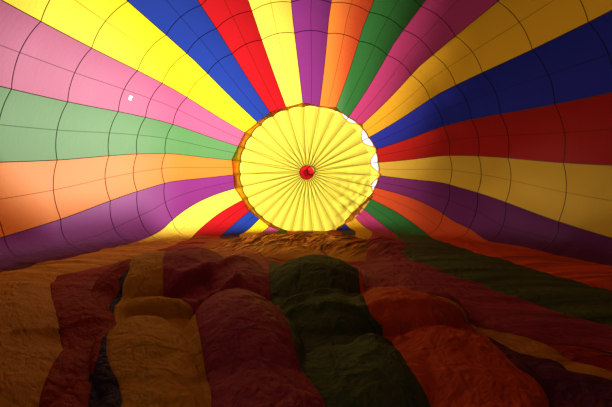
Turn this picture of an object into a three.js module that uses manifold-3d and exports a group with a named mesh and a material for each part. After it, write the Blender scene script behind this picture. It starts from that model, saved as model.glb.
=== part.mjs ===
// Hot air balloon envelope lying on its side, half inflated: 32 cloth gores, the load tapes between
// them, the crown ring and the parachute valve that closes the crown opening.
// Millimetres, +Z up, the envelope's length along Y with the crown at +Y and the mouth at -Y.
import * as THREE from "three";
import { mergeVertices } from "three/addons/utils/BufferGeometryUtils.js";
import Module from "manifold-3d";

// Driving dimensions
const GORES = 32;
const CLOTH_THICKNESS = 10;
const SEAT_GAP = 0.3; // between pieces that touch
const TAPE_WIDTH = 40;
const TAPE_THICKNESS = 8;

const WIDEST_RADIUS = 8200; // of the inflated upper part
const WIDEST_FROM_CROWN = 9500;
const MOUTH_FROM_CROWN = 20500;
const MOUTH_RADIUS = 1900;
const DOME_POWER = 2.25; // 2 would be an ellipse
const THROAT_POWER = 1.7; // how fast the envelope narrows towards the mouth

const AXIS_HEIGHT_AT_CROWN = 3418; // the middle of the upper arcs rises towards the crown
const AXIS_RISE = 0.0957;

const OPENING_RADIUS = 3450; // crown opening
const OPENING_SHIFT = 240; // the opening's middle lies to the right of the envelope's middle
const SHIFT_ENDS = 3500; // from the crown

const TOP_SEAM = 15.36; // the seam number that would lie exactly on top
const SEAM_ANGLE_LEFT = 13.95; // degrees a gore spans about the axis, left of the top
const SEAM_ANGLE_RIGHT = 13.45;
const SEAM_ANGLE_EVENS_OUT = 8000; // from the crown; nearer to it the lower gores are narrower
const SQUEEZE_POWER = 1.8; // how soon they widen
const GORE_BULGE = 0.055; // of the gore's width: how far its middle seam stands out of its tapes
const NEAR_SEAM = 0.25; // share of a gore's width
const SLOPE_SHARE = 0.2; // share of its width over which its slope is taken

const RING_OUTER_RADIUS = 250;
const RING_INNER_RADIUS = 200;
const RING_THICKNESS = 24;
const RING_FACETS = 48;

const VALVE_RADIUS = 3460;
const VALVE_SHIFT = -120; // the valve sits a little to the left of the opening
const VALVE_BEHIND = 85.6; // its panel's seams lie inside the dome, and its panels press on the tapes
const VALVE_PUFF = 50;
const VALVE_LOWEST = 160; // its lower edge is turned up above the ground
const VALVE_TURN_UP = 0.5; // slope of the turned-up part
const VALVE_RINGS = [1200, 2100, 2900]; // radii at which the valve's cloth bends
const VALVE_HEM = 60;
const PATCH_RADIUS = 390;
const PULL_RING_RADIUS = 150;
const PULL_RING_SECTION = 13;
const PULL_RING_FACETS = 24;
const PULL_RING_SIDES = 8;

const HOOP_WIDTH = 60; // webbing round the mouth and round the crown opening
const HOOP_THICKNESS = 9;
const RIM_TAPE_GAP = 0.6;
const RIM_TAPE_SLACK = 18; // how much further it stands off where the cloth twists
const MOUTH_HOOP_GAP = 14; // the cloth's edge lies on a slant there
const LOOP_LENGTH = 150; // end loop of a load tape
const LOOP_EYE = [20, 70]; // width and length of its eye
const LOOP_END = 30; // webbing beyond the eye
const TWIST_ROOM = 8; // room at a tape's edge for each radian that it twists between two sections

const CROWN_Y = 10356.4; // y of the crown, with the whole length centred on 0

// Distances from the crown at which the cloth has a cross-section
const STATIONS = [
  depthAt(OPENING_RADIUS), 800, 1300, 2300, 4000, 6000, 8500,
  11000, 12400, 13600, 14800, 16000, 17800, MOUTH_FROM_CROWN,
];

// Where the seams lie on the ground, in metres right of the middle, at distances from the crown.
// A place beyond the foot of the wall is that far up the wall.
const GROUND_STATIONS = [3500, 8000, 11000, 13500, 15200, 16250];
const GROUND_SEAMS = {
  24: [6.58, 7.4, 7.4, 7.0, 5.9, 5.05],
  25: [5.5, 5.4, 5.4, 5.4, 5.1, 4.6],
  26: [4.05, 3.3, 3.3, 3.75, 4.35, 4.2],
  27: [2.85, 2.3, 2.35, 3.05, 3.6, 3.85],
  28: [2.0, 2.0, 2.15, 2.9, 3.4, 3.65],
  29: [1.35, 1.75, 1.98, 2.78, 3.2, 3.45],
  30: [0.82, 1.5, 1.82, 2.64, 3.0, 3.25],
  31: [0.25, 1.25, 1.66, 2.5, 2.35, 2.85],
  0: [-0.3, 1.0, 1.5, 2.35, 2.12, 1.9],
  1: [-1.0, 0.6, 1.3, 0.98, 1.01, 0.99],
  2: [-1.6, -1.5, -0.85, -0.45, -0.12, 0.17],
  3: [-2.1, -3.4, -3.15, -2.1, -1.13, -0.76],
  4: [-2.8, -4.2, -3.95, -2.86, -2.05, -1.44],
  5: [-3.7, -4.4, -4.15, -3.04, -2.24, -1.72],
  6: [-5.1, -4.9, -5.4, -4.0, -2.65, -2.11],
  7: [-6.6, -6.9, -6.85, -6.6, -5.4, -4.7],
};

// Humps of slack cloth on the ground: metres right of the middle, metres from the crown,
// half width, half length, height
const HUMPS = [
  [-0.6, 15.5, 0.75, 1.15, 0.52],
  [-1.65, 15.7, 0.6, 1.0, 0.3],
  [-2.0, 14.45, 0.95, 0.5, 0.3],
  [-3.3, 12.2, 0.95, 1.3, 0.34],
  [-2.2, 11.6, 1.2, 1.0, 0.46],
  [-1.0, 13.0, 1.1, 0.8, 0.34],
  [0.35, 11.9, 1.5, 1.0, 0.44],
  [0.45, 14.1, 0.9, 0.9, 0.2],
  [1.75, 13.2, 1.1, 0.9, 0.38],
  [1.6, 15.1, 0.9, 0.9, 0.2],
  [-1.6, 5.6, 1.8, 1.6, 0.34],
  [0.9, 6.0, 2.0, 1.6, 0.3],
  [2.9, 7.0, 1.9, 2.0, 0.2],
];
const FOOT_MARGIN = 700; // the cloth lies flat within this distance of the foot of the wall

const YELLOW = { name: "yellow", colour: 0xf2cf1f };
const PURPLE = { name: "purple", colour: 0x7a2a7c };
const ORANGE = { name: "orange", colour: 0xe8762b };
const GREEN = { name: "green", colour: 0x3c8a4d };
const PINK = { name: "pink", colour: 0xd94f8f };
const BLUE = { name: "blue", colour: 0x2440a0 };
const RED = { name: "red", colour: 0xcc2626 };
// The colours repeat four times round the envelope, in the order of the gores' numbers
const COLOUR_ORDER = [ORANGE, GREEN, PINK, YELLOW, BLUE, RED, YELLOW, PURPLE];
const WEBBING_COLOUR = 0x2b2622;
const HEM_COLOUR = 0x8a5a20;
const PULL_RING_COLOUR = 0x5c1512;
const METAL_COLOUR = 0xb8bcc0;

const wasm = await Module();
wasm.setup();

const DEGREE = Math.PI / 180;
const METRE = 1000;

// Shape of the envelope

function axisHeight(d) {
  return AXIS_HEIGHT_AT_CROWN - AXIS_RISE * d;
}

function axisShift(d) {
  return OPENING_SHIFT * Math.max(0, 1 - d / SHIFT_ENDS);
}

function radiusAt(d) {
  if (d < WIDEST_FROM_CROWN) {
    const t = 1 - d / WIDEST_FROM_CROWN;
    return WIDEST_RADIUS * (1 - t ** DOME_POWER) ** (1 / DOME_POWER);
  }
  const t = (d - WIDEST_FROM_CROWN) / (MOUTH_FROM_CROWN - WIDEST_FROM_CROWN);
  return WIDEST_RADIUS - (WIDEST_RADIUS - MOUTH_RADIUS) * t ** THROAT_POWER;
}

// Distance from the crown at which the dome has radius r
function depthAt(r) {
  const t = (1 - (r / WIDEST_RADIUS) ** DOME_POWER) ** (1 / DOME_POWER);
  return WIDEST_FROM_CROWN * (1 - t);
}

// The cross-section at d: an arc about the axis down to the ground, closed by the ground
function sectionAt(d) {
  const radius = radiusAt(d);
  const height = axisHeight(d);
  const footAngle = height < radius ? Math.acos(-height / radius) : Math.PI;
  const arc = radius * footAngle;
  const half = radius * Math.sin(footAngle);
  return { d, radius, height, arc, half, round: 2 * (arc + half) };
}

function lerp(a, b, t) {
  return a + (b - a) * t;
}

function tableAt(places, values, x) {
  const last = places.length - 1;
  if (x <= places[0]) return values[0];
  if (x >= places[last]) return values[last];
  const i = places.findIndex((place) => place > x) - 1;
  return lerp(values[i], values[i + 1], (x - places[i]) / (places[i + 1] - places[i]));
}

// Angle of a seam about the axis, clockwise from the top as seen from the mouth
function seamAngle(seam, d) {
  const count = seam - TOP_SEAM;
  const full = count < 0 ? SEAM_ANGLE_LEFT : SEAM_ANGLE_RIGHT;
  const half = GORES / 2;
  const squeeze = (full * half - 180) / (half * half);
  const near = Math.max(0, (SEAM_ANGLE_EVENS_OUT - d) / (SEAM_ANGLE_EVENS_OUT - STATIONS[0]));
  const angle = full * Math.abs(count) - squeeze * near ** SQUEEZE_POWER * count * count;
  return Math.sign(count) * angle * DEGREE;
}

// Place of a seam round the section, as a distance clockwise from the top
function seamPlace(seam, section) {
  const onWall = seam > 7 && seam < 24;
  const evenly = ((seam - TOP_SEAM) / GORES) * section.round;
  const first = GROUND_STATIONS[0];
  const last = GROUND_STATIONS[GROUND_STATIONS.length - 1];
  let place;
  if (onWall) place = section.radius * seamAngle(seam, section.d);
  else {
    const clamped = Math.min(Math.max(section.d, first), last);
    const at = sectionAt(clamped);
    const x = METRE * tableAt(GROUND_STATIONS, GROUND_SEAMS[seam % GORES], clamped);
    place = ((at.arc + at.half - x) / at.round) * section.round;
    if (seam < 8) place -= section.round;
    if (section.d < first) {
      const rim = (seamAngle(seam, STATIONS[0]) / (2 * Math.PI)) * section.round;
      place = lerp(rim, place, (section.d - STATIONS[0]) / (first - STATIONS[0]));
    }
  }
  const toMouth = (section.d - last) / (MOUTH_FROM_CROWN - last);
  return lerp(place, evenly, Math.min(Math.max(toMouth, 0), 1));
}

function humpHeight(x, d, half) {
  const edge = Math.min(Math.max((half - Math.abs(x)) / FOOT_MARGIN, 0), 1);
  let height = 0;
  for (const [hx, hd, halfWidth, halfLength, top] of HUMPS) {
    const across = (x / METRE - hx) / halfWidth;
    const along = (d / METRE - hd) / halfLength;
    const q = (across * across + along * along) / 2;
    if (q < 1) height = Math.max(height, top * METRE * (1 - q) ** 2);
  }
  return height * edge * edge * (3 - 2 * edge);
}

// Point of the middle of the cloth at a place round the section, set out by bulge on the wall
function pointAt(section, place, bulge) {
  const { d, radius, height, arc, half, round } = section;
  let s = place;
  if (s > round / 2) s -= round;
  if (s < -round / 2) s += round;
  const y = CROWN_Y - d;
  const lift = CLOTH_THICKNESS / 2;
  if (Math.abs(s) <= arc) {
    const angle = s / radius;
    const r = radius + bulge;
    const z = Math.max(height + r * Math.cos(angle), 0);
    return new THREE.Vector3(axisShift(d) + r * Math.sin(angle), y, z + lift);
  }
  const x = Math.sign(s) * (half - (Math.abs(s) - arc));
  return new THREE.Vector3(axisShift(d) + x, y, humpHeight(x, d, half) + lift);
}

// Point of gore g at a share of its width, 0 and 1 being its seams
function gorePoint(section, g, share) {
  const from = seamPlace(g - 1, section);
  const to = seamPlace(g, section);
  const hat = 1 - 2 * Math.abs(2 * share - 1);
  return pointAt(section, lerp(from, to, share), GORE_BULGE * (to - from) * hat);
}

// Closed shells

function shellFrom(vertices, triangles) {
  const geometry = new THREE.BufferGeometry();
  const flat = vertices.flatMap((v) => [v.x, v.y, v.z]);
  geometry.setAttribute("position", new THREE.Float32BufferAttribute(flat, 3));
  let volume = 0;
  for (const [a, b, c] of triangles) {
    volume += vertices[a].dot(new THREE.Vector3().crossVectors(vertices[b], vertices[c]));
  }
  const faces = volume < 0 ? triangles.map(([a, b, c]) => [a, c, b]) : triangles;
  geometry.setIndex(faces.flat());
  return geometry;
}

// Shell between two equal grids of points; closed across where the last column meets the first
function gridShell(front, back, closed) {
  const rows = front.length;
  const columns = front[0].length;
  const vertices = [...front.flat(), ...back.flat()];
  const layer = rows * columns;
  const at = (side, i, j) => side * layer + i * columns + (j % columns);
  const triangles = [];
  const quad = (a, b, c, e) => triangles.push([a, b, c], [a, c, e]);
  const steps = closed ? columns : columns - 1;
  for (let i = 0; i < rows - 1; i++) {
    for (let j = 0; j < steps; j++) {
      quad(at(0, i, j), at(0, i + 1, j), at(0, i + 1, j + 1), at(0, i, j + 1));
      quad(at(1, i, j), at(1, i, j + 1), at(1, i + 1, j + 1), at(1, i + 1, j));
    }
    if (!closed) {
      quad(at(0, i, 0), at(1, i, 0), at(1, i + 1, 0), at(0, i + 1, 0));
      const j = columns - 1;
      quad(at(0, i, j), at(0, i + 1, j), at(1, i + 1, j), at(1, i, j));
    }
  }
  for (let j = 0; j < steps; j++) {
    quad(at(0, 0, j), at(0, 0, j + 1), at(1, 0, j + 1), at(1, 0, j));
    const i = rows - 1;
    quad(at(0, i, j), at(1, i, j), at(1, i, j + 1), at(0, i, j + 1));
  }
  return shellFrom(vertices, triangles);
}

function offset(point, ...moves) {
  const moved = point.clone();
  for (const [direction, distance] of moves) moved.addScaledVector(direction, distance);
  return moved;
}

// The same, kept above a lowest height, because what lies on the ground is pressed flat
function pressed(lowest, point, ...moves) {
  const moved = offset(point, ...moves);
  moved.z = Math.max(moved.z, lowest);
  return moved;
}

const SECTIONS = STATIONS.map(sectionAt);

// Frame of a seam at a station: along it towards the mouth, across it clockwise, and outwards
function seamFrame(seam, i) {
  const point = (n) => gorePoint(SECTIONS[n], seam + 1, 0);
  const before = point(Math.max(i - 1, 0));
  const after = point(Math.min(i + 1, SECTIONS.length - 1));
  const along = after.sub(before).normalize();
  const left = gorePoint(SECTIONS[i], seam === 0 ? GORES : seam, 1 - NEAR_SEAM);
  const right = gorePoint(SECTIONS[i], seam + 1, NEAR_SEAM);
  const across = right.sub(left);
  across.addScaledVector(along, -across.dot(along)).normalize();
  const out = new THREE.Vector3().crossVectors(along, across).normalize();
  return { at: point(i), along, across, out };
}

const SEAM_FRAMES = Array.from({ length: GORES }, (_, seam) =>
  STATIONS.map((_station, i) => seamFrame(seam, i)),
);

// Gores

// Half the slot between two gores: the tape's, and more where the tape twists
function slotAt(frames, i) {
  const near = [frames[i - 1], frames[i + 1]].filter(Boolean);
  const twist = Math.max(...near.map((f) => Math.abs(f.across.dot(frames[i].out))));
  return TAPE_WIDTH / 2 + SEAT_GAP + TWIST_ROOM * twist;
}

// The gore's points across its width at a station, each with its direction outwards
function goreColumns(g, i) {
  const first = SEAM_FRAMES[g - 1];
  const last = SEAM_FRAMES[g % GORES];
  const onWall = g > 8 && g < 24;
  const section = SECTIONS[i];
  const columns = [{ at: offset(first[i].at, [first[i].across, slotAt(first, i)]), out: first[i].out }];
  for (const share of onWall ? [0.5] : [NEAR_SEAM, 0.5, 1 - NEAR_SEAM]) {
    const at = gorePoint(section, g, share);
    const before = gorePoint(section, g, share - SLOPE_SHARE);
    const across = gorePoint(section, g, share + SLOPE_SHARE).sub(before).normalize();
    const along = first[i].along.clone().lerp(last[i].along, share).normalize();
    columns.push({ at, out: new THREE.Vector3().crossVectors(along, across).normalize() });
  }
  columns.push({ at: offset(last[i].at, [last[i].across, -slotAt(last, i)]), out: last[i].out });
  return columns;
}

function goreGeometry(g) {
  const half = CLOTH_THICKNESS / 2;
  const layer = (out) =>
    SECTIONS.map((_section, i) => goreColumns(g, i).map((c) => pressed(0, c.at, [c.out, out])));
  return gridShell(layer(half), layer(-half), false);
}

// Webbing

function solidOf(geometry) {
  const bare = new THREE.BufferGeometry();
  bare.setAttribute("position", geometry.getAttribute("position"));
  bare.setIndex(geometry.getIndex());
  const merged = mergeVertices(bare, 1e-3);
  const triVerts = new Uint32Array(merged.index.array);
  const vertProperties = merged.attributes.position.array;
  return new wasm.Manifold(new wasm.Mesh({ numProp: 3, vertProperties, triVerts }));
}

function geometryOf(solid) {
  const mesh = solid.getMesh();
  const geometry = new THREE.BufferGeometry();
  geometry.setAttribute("position", new THREE.BufferAttribute(mesh.vertProperties, 3));
  geometry.setIndex(new THREE.BufferAttribute(mesh.triVerts, 1));
  return geometry;
}

// Strap of the tape's section through a list of frames
function strap(frames, width, thickness) {
  const lowest = (CLOTH_THICKNESS - thickness) / 2;
  const side = (out) =>
    frames.map((f) => [
      pressed(lowest, f.at, [f.across, -width / 2], [f.out, out]),
      pressed(lowest, f.at, [f.across, width / 2], [f.out, out]),
    ]);
  return gridShell(side(thickness / 2), side(-thickness / 2), false);
}

// The load tape's run over the crown opening, from the crown ring out to the cloth
const CROWN_RUN = [RING_OUTER_RADIUS + SEAT_GAP, 1200, 2400];
const SLOPE_STEP = 50;

function crownFrames(seam) {
  const angle = seamAngle(seam, STATIONS[0]);
  const rim = SEAM_FRAMES[seam][0];
  return CROWN_RUN.map((r) => {
    const d = depthAt(r);
    const slope = (depthAt(r + SLOPE_STEP) - depthAt(r - SLOPE_STEP)) / (2 * SLOPE_STEP);
    const at = crownPoint(r, angle, d);
    const along = new THREE.Vector3(Math.sin(angle), -slope, Math.cos(angle)).normalize();
    const across = new THREE.Vector3(Math.cos(angle), 0, -Math.sin(angle));
    const out = new THREE.Vector3().crossVectors(along, across).normalize();
    if (out.dot(rim.out) < 0) throw new Error("the tape turns over at the rim");
    return { at, along, across, out };
  });
}

// Point of the crown dome at a radius and an angle about the opening's middle
function crownPoint(r, angle, d) {
  const x = axisShift(d) + r * Math.sin(angle);
  const z = Math.max(axisHeight(d) + r * Math.cos(angle), 0) + CLOTH_THICKNESS / 2;
  return new THREE.Vector3(x, CROWN_Y - d, z);
}

function loopGeometry(frame) {
  const outline = new THREE.Shape();
  const half = TAPE_WIDTH / 2;
  outline.moveTo(-half, -HOOP_WIDTH / 2);
  outline.lineTo(half, -HOOP_WIDTH / 2);
  outline.lineTo(half, LOOP_LENGTH);
  outline.lineTo(-half, LOOP_LENGTH);
  const [eyeWidth, eyeLength] = LOOP_EYE;
  const eyeEnd = LOOP_LENGTH - LOOP_END;
  const eye = new THREE.Path();
  eye.moveTo(-eyeWidth / 2, eyeEnd - eyeLength);
  eye.lineTo(-eyeWidth / 2, eyeEnd);
  eye.lineTo(eyeWidth / 2, eyeEnd);
  eye.lineTo(eyeWidth / 2, eyeEnd - eyeLength);
  outline.holes.push(eye);
  const geometry = new THREE.ExtrudeGeometry(outline, { depth: TAPE_THICKNESS, bevelEnabled: false });
  geometry.translate(0, 0, -TAPE_THICKNESS / 2);
  const out = new THREE.Vector3().crossVectors(frame.across, frame.along);
  geometry.applyMatrix4(new THREE.Matrix4().makeBasis(frame.across, frame.along, out));
  geometry.translate(frame.at.x, frame.at.y, frame.at.z);
  geometry.deleteAttribute("normal");
  geometry.deleteAttribute("uv");
  return mergeVertices(geometry, 1e-3);
}

// Points round the mouth with their directions, for its hoop
function mouthRing() {
  const i = SECTIONS.length - 1;
  const ring = [];
  for (let g = 1; g <= GORES; g++) {
    ring.push(SEAM_FRAMES[g - 1][i]);
    const columns = goreColumns(g, i);
    const before = goreColumns(g, i - 1);
    for (let n = 1; n < columns.length - 1; n++) {
      const along = offset(columns[n].at, [before[n].at, -1]).normalize();
      ring.push({ ...columns[n], along });
    }
  }
  return ring;
}

function mouthHoopGeometry() {
  const ring = mouthRing();
  const half = HOOP_THICKNESS / 2;
  const lowest = CLOTH_THICKNESS / 2 - half;
  const row = (distance, out) =>
    ring.map((f) => pressed(lowest, f.at, [f.along, distance], [f.out, out]));
  const layer = (out) => [row(MOUTH_HOOP_GAP, out), row(MOUTH_HOOP_GAP + HOOP_WIDTH, out)];
  return gridShell(layer(half), layer(-half), true);
}

function loadTapesGeometry() {
  let net = solidOf(mouthHoopGeometry());
  for (let seam = 0; seam < GORES; seam++) {
    const frames = [...crownFrames(seam), ...SEAM_FRAMES[seam]];
    const end = SEAM_FRAMES[seam][SECTIONS.length - 1];
    const intoHoop = { ...end, at: offset(end.at, [end.along, MOUTH_HOOP_GAP + HOOP_WIDTH / 2]) };
    const loopStart = { ...end, at: offset(end.at, [end.along, MOUTH_HOOP_GAP + HOOP_WIDTH]) };
    net = net.add(solidOf(strap([...frames, intoHoop], TAPE_WIDTH, TAPE_THICKNESS)));
    net = net.add(solidOf(loopGeometry(loopStart)));
  }
  return geometryOf(net);
}

// The rim tape lines the inside of the cloth along the opening's edge
function rimTapeGeometry() {
  const columnsAt = (i) => {
    const ring = [];
    for (let g = 1; g <= GORES; g++) ring.push(...goreColumns(g, i));
    return ring.map((c) => ({ at: pressed(0, c.at, [c.out, -CLOTH_THICKNESS / 2]), out: c.out }));
  };
  const edge = columnsAt(0);
  const next = columnsAt(1);
  const row = (distance, depth) =>
    edge.map((c, n) => {
      const along = offset(next[n].at, [c.at, -1]);
      const share = distance / along.length();
      const normal = c.out.clone().lerp(next[n].out, share).normalize();
      const twist = c.out.distanceTo(next[n].out) + c.out.distanceTo(edge.at(n - 1).out);
      return offset(c.at, [along, share], [normal, -depth - RIM_TAPE_SLACK * twist]);
    });
  const layer = (depth) => [row(0, depth), row(HOOP_WIDTH, depth)];
  return gridShell(layer(RIM_TAPE_GAP), layer(RIM_TAPE_GAP + HOOP_THICKNESS), true);
}

function crownRingGeometry() {
  const half = RING_THICKNESS / 2;
  const profile = [
    new THREE.Vector2(RING_INNER_RADIUS, -half),
    new THREE.Vector2(RING_OUTER_RADIUS, -half),
    new THREE.Vector2(RING_OUTER_RADIUS, half),
    new THREE.Vector2(RING_INNER_RADIUS, half),
    new THREE.Vector2(RING_INNER_RADIUS, -half),
  ];
  return closedLathe(profile, RING_FACETS);
}

function closedLathe(profile, segments) {
  const geometry = new THREE.LatheGeometry(profile, segments);
  geometry.deleteAttribute("normal");
  geometry.deleteAttribute("uv");
  const merged = mergeVertices(geometry, 1e-3);
  const position = merged.getAttribute("position");
  const vertices = Array.from({ length: position.count }, (_, i) =>
    new THREE.Vector3().fromBufferAttribute(position, i),
  );
  const index = [...merged.getIndex().array];
  const triangles = [];
  for (let i = 0; i < index.length; i += 3) {
    const [a, b, c] = index.slice(i, i + 3);
    if (a !== b && b !== c && c !== a) triangles.push([a, b, c]);
  }
  return shellFrom(vertices, triangles);
}

// Parachute valve

// Point of the valve's cloth at a radius from its own middle; puff sets the panel out of its seams
function valvePoint(r, angle, share) {
  const x = VALVE_SHIFT + r * Math.sin(angle);
  const z = axisHeight(STATIONS[0]) + r * Math.cos(angle);
  const fromOpening = Math.hypot(x - OPENING_SHIFT, z - axisHeight(STATIONS[0]));
  const reach = r / VALVE_RADIUS;
  const puff = VALVE_PUFF * share * 4 * reach * (1 - reach);
  return new THREE.Vector3(x, CROWN_Y - depthAt(fromOpening) - VALVE_BEHIND + Math.max(puff, 0), z);
}

function valveAngles() {
  const angles = [];
  for (let g = 1; g <= GORES; g++) {
    const from = seamAngle(g - 1, STATIONS[0]);
    const to = seamAngle(g, STATIONS[0]);
    angles.push({ angle: from, share: 0 }, { angle: (from + to) / 2, share: 1 });
  }
  return angles;
}

function valveRings(radii, thickness) {
  const lowest = VALVE_LOWEST + thickness;
  const layer = (side) =>
    radii.map((r) =>
      valveAngles().map(({ angle, share }) => {
        const point = valvePoint(r, angle, share);
        point.y += (side * thickness) / 2;
        const bottom = lowest + (VALVE_RADIUS + VALVE_HEM - r) * VALVE_TURN_UP;
        point.z = Math.max(point.z, bottom);
        return point;
      }),
    );
  return gridShell(layer(1), layer(-1), true);
}

function patchRim() {
  return valveAngles().map(({ angle }) => valvePoint(PATCH_RADIUS, angle, 0));
}

// The flat patch lies at the mean height of the dome round it
function patchY() {
  const rim = patchRim();
  return rim.reduce((sum, p) => sum + p.y, 0) / rim.length;
}

function valvePatchGeometry() {
  const rim = patchRim();
  const y = patchY();
  const middle = new THREE.Vector3(VALVE_SHIFT, y, axisHeight(STATIONS[0]));
  const vertices = [];
  const triangles = [];
  const count = rim.length;
  for (const side of [1, -1]) {
    const lift = new THREE.Vector3(0, (side * CLOTH_THICKNESS) / 2, 0);
    rim.forEach((p) => vertices.push(new THREE.Vector3(p.x, y, p.z).add(lift)));
    vertices.push(middle.clone().add(lift));
  }
  for (let i = 0; i < count; i++) {
    const j = (i + 1) % count;
    const far = count + 1;
    triangles.push([count, i, j], [far + count, far + j, far + i]);
    triangles.push([i, far + i, far + j], [i, far + j, j]);
  }
  return shellFrom(vertices, triangles);
}

function pullRingGeometry() {
  const profile = Array.from({ length: PULL_RING_SIDES + 1 }, (_, i) => {
    const turn = (2 * Math.PI * ((i % PULL_RING_SIDES) + 0.5)) / PULL_RING_SIDES;
    const r = PULL_RING_RADIUS + PULL_RING_SECTION * Math.cos(turn);
    return new THREE.Vector2(r, PULL_RING_SECTION * Math.sin(turn));
  });
  return closedLathe(profile, PULL_RING_FACETS);
}

// The assembly

const envelope = new THREE.Group();
envelope.name = "hot_air_balloon_envelope";

function add(name, geometry, colour, roughness, metalness) {
  const material = new THREE.MeshStandardMaterial({ color: colour, roughness, metalness });
  const mesh = new THREE.Mesh(geometry, material);
  mesh.name = name;
  envelope.add(mesh);
  return mesh;
}

for (let g = 1; g <= GORES; g++) {
  const { name, colour } = COLOUR_ORDER[(g - 1) % COLOUR_ORDER.length];
  const number = String(g).padStart(2, "0");
  add(`gore_${number}_${name}`, goreGeometry(g), colour, 0.6, 0);
}
add("load_tapes", loadTapesGeometry(), WEBBING_COLOUR, 0.8, 0);
add("crown_rim_tape", rimTapeGeometry(), WEBBING_COLOUR, 0.8, 0);

const ring = add("crown_ring", crownRingGeometry(), METAL_COLOUR, 0.35, 0.9);
ring.position.set(axisShift(0), CROWN_Y, axisHeight(0) + CLOTH_THICKNESS / 2);

const hemStart = VALVE_RADIUS + SEAT_GAP;
const panelRadii = [PATCH_RADIUS + SEAT_GAP, ...VALVE_RINGS, VALVE_RADIUS];
add("parachute_panel", valveRings(panelRadii, CLOTH_THICKNESS), YELLOW.colour, 0.6, 0);
const hemRadii = [hemStart, hemStart + VALVE_HEM];
add("parachute_hem", valveRings(hemRadii, CLOTH_THICKNESS), HEM_COLOUR, 0.8, 0);
add("parachute_patch", valvePatchGeometry(), RED.colour, 0.6, 0);

const pullRing = add("parachute_pull_ring", pullRingGeometry(), PULL_RING_COLOUR, 0.7, 0);
const pullRingReach = PULL_RING_SECTION * Math.cos(Math.PI / PULL_RING_SIDES);
const pullRingY = patchY() - CLOTH_THICKNESS / 2 - SEAT_GAP - pullRingReach;
pullRing.position.set(VALVE_SHIFT, pullRingY, axisHeight(STATIONS[0]));

export default envelope;
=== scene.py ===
import math

import bpy
import numpy as np
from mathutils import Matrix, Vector


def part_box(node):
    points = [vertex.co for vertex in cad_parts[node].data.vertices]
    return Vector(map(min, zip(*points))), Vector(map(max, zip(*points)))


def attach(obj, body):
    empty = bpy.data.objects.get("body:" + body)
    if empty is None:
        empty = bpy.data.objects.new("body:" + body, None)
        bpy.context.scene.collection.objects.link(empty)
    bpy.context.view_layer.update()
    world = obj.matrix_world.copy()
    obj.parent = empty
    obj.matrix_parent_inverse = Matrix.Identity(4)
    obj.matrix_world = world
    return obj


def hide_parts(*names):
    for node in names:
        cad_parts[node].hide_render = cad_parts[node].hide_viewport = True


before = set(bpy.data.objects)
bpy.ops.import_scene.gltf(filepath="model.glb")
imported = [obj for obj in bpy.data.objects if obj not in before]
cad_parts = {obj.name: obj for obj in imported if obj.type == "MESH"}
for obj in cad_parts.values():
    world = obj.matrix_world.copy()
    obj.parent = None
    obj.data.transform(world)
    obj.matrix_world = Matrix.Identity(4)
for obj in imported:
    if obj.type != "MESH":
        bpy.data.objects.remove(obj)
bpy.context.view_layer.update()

bl_info = {
    "name": "Lying balloon envelope",
    "version": (1, 0, 0),
    "blender": (4, 5, 0),
    "location": "View3D > Sidebar > Envelope",
    "description": "Gores, load tapes, crown ring and parachute valve of a half inflated balloon envelope",
    "category": "Add Mesh",
}

# Shape of the envelope, in metres. d is the distance from the crown, towards the mouth.
GORES = 32
CROWN_Y = 10.3564
WIDEST_RADIUS, WIDEST = 8.2, 9.5
MOUTH, MOUTH_RADIUS = 20.5, 1.9
DOME_POWER, THROAT_POWER = 2.25, 1.7
AXIS_AT_CROWN, AXIS_RISE = 3.418, 0.0957
OPENING_RADIUS, OPENING_SHIFT, SHIFT_ENDS = 3.45, 0.2, 3.5
TOP_SEAM, SEAM_ANGLE_LEFT, SEAM_ANGLE_RIGHT = 15.36, 13.95, 13.45
ANGLE_EVENS_OUT, SQUEEZE_POWER = 8.0, 1.8
SHOULDER_LIFT = 0.053  # degrees, times the count of gores from the top, squared
SHOULDER_RISE, SHOULDER_FALL = 2.5, (4.0, 7.0)
OPENING_WIDER, OPENING_LOWER, OPENING_EASES = 0.05, 0.03, 3.0
PULLED_BY, PULLED_AT, PULLED_WIDE = 0.09, 133.0, 20.0  # the opening's edge at the lower right, in degrees
GORE_BULGE = 0.032
FOOT_ROUND, FOOT_SHARE, FOOT_MARGIN = 0.8, 0.45, 0.7
BULGE_FADE = 1.6
PILLOW_HEIGHT, PILLOW_FULL_WIDTH, PILLOW_POWER = 0.07, 1.3, 0.7
CUT_RISE, CUT_FALL = 4.0, (15.5, 5.0)
LOWEST = 0.004
# Seams are counted from the middle of the ground by the left wall, the top and the right wall
LEFT_SEAMS, WALL_SEAMS, RIGHT_SEAMS = range(8), range(8, 24), range(24, GORES)

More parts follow.
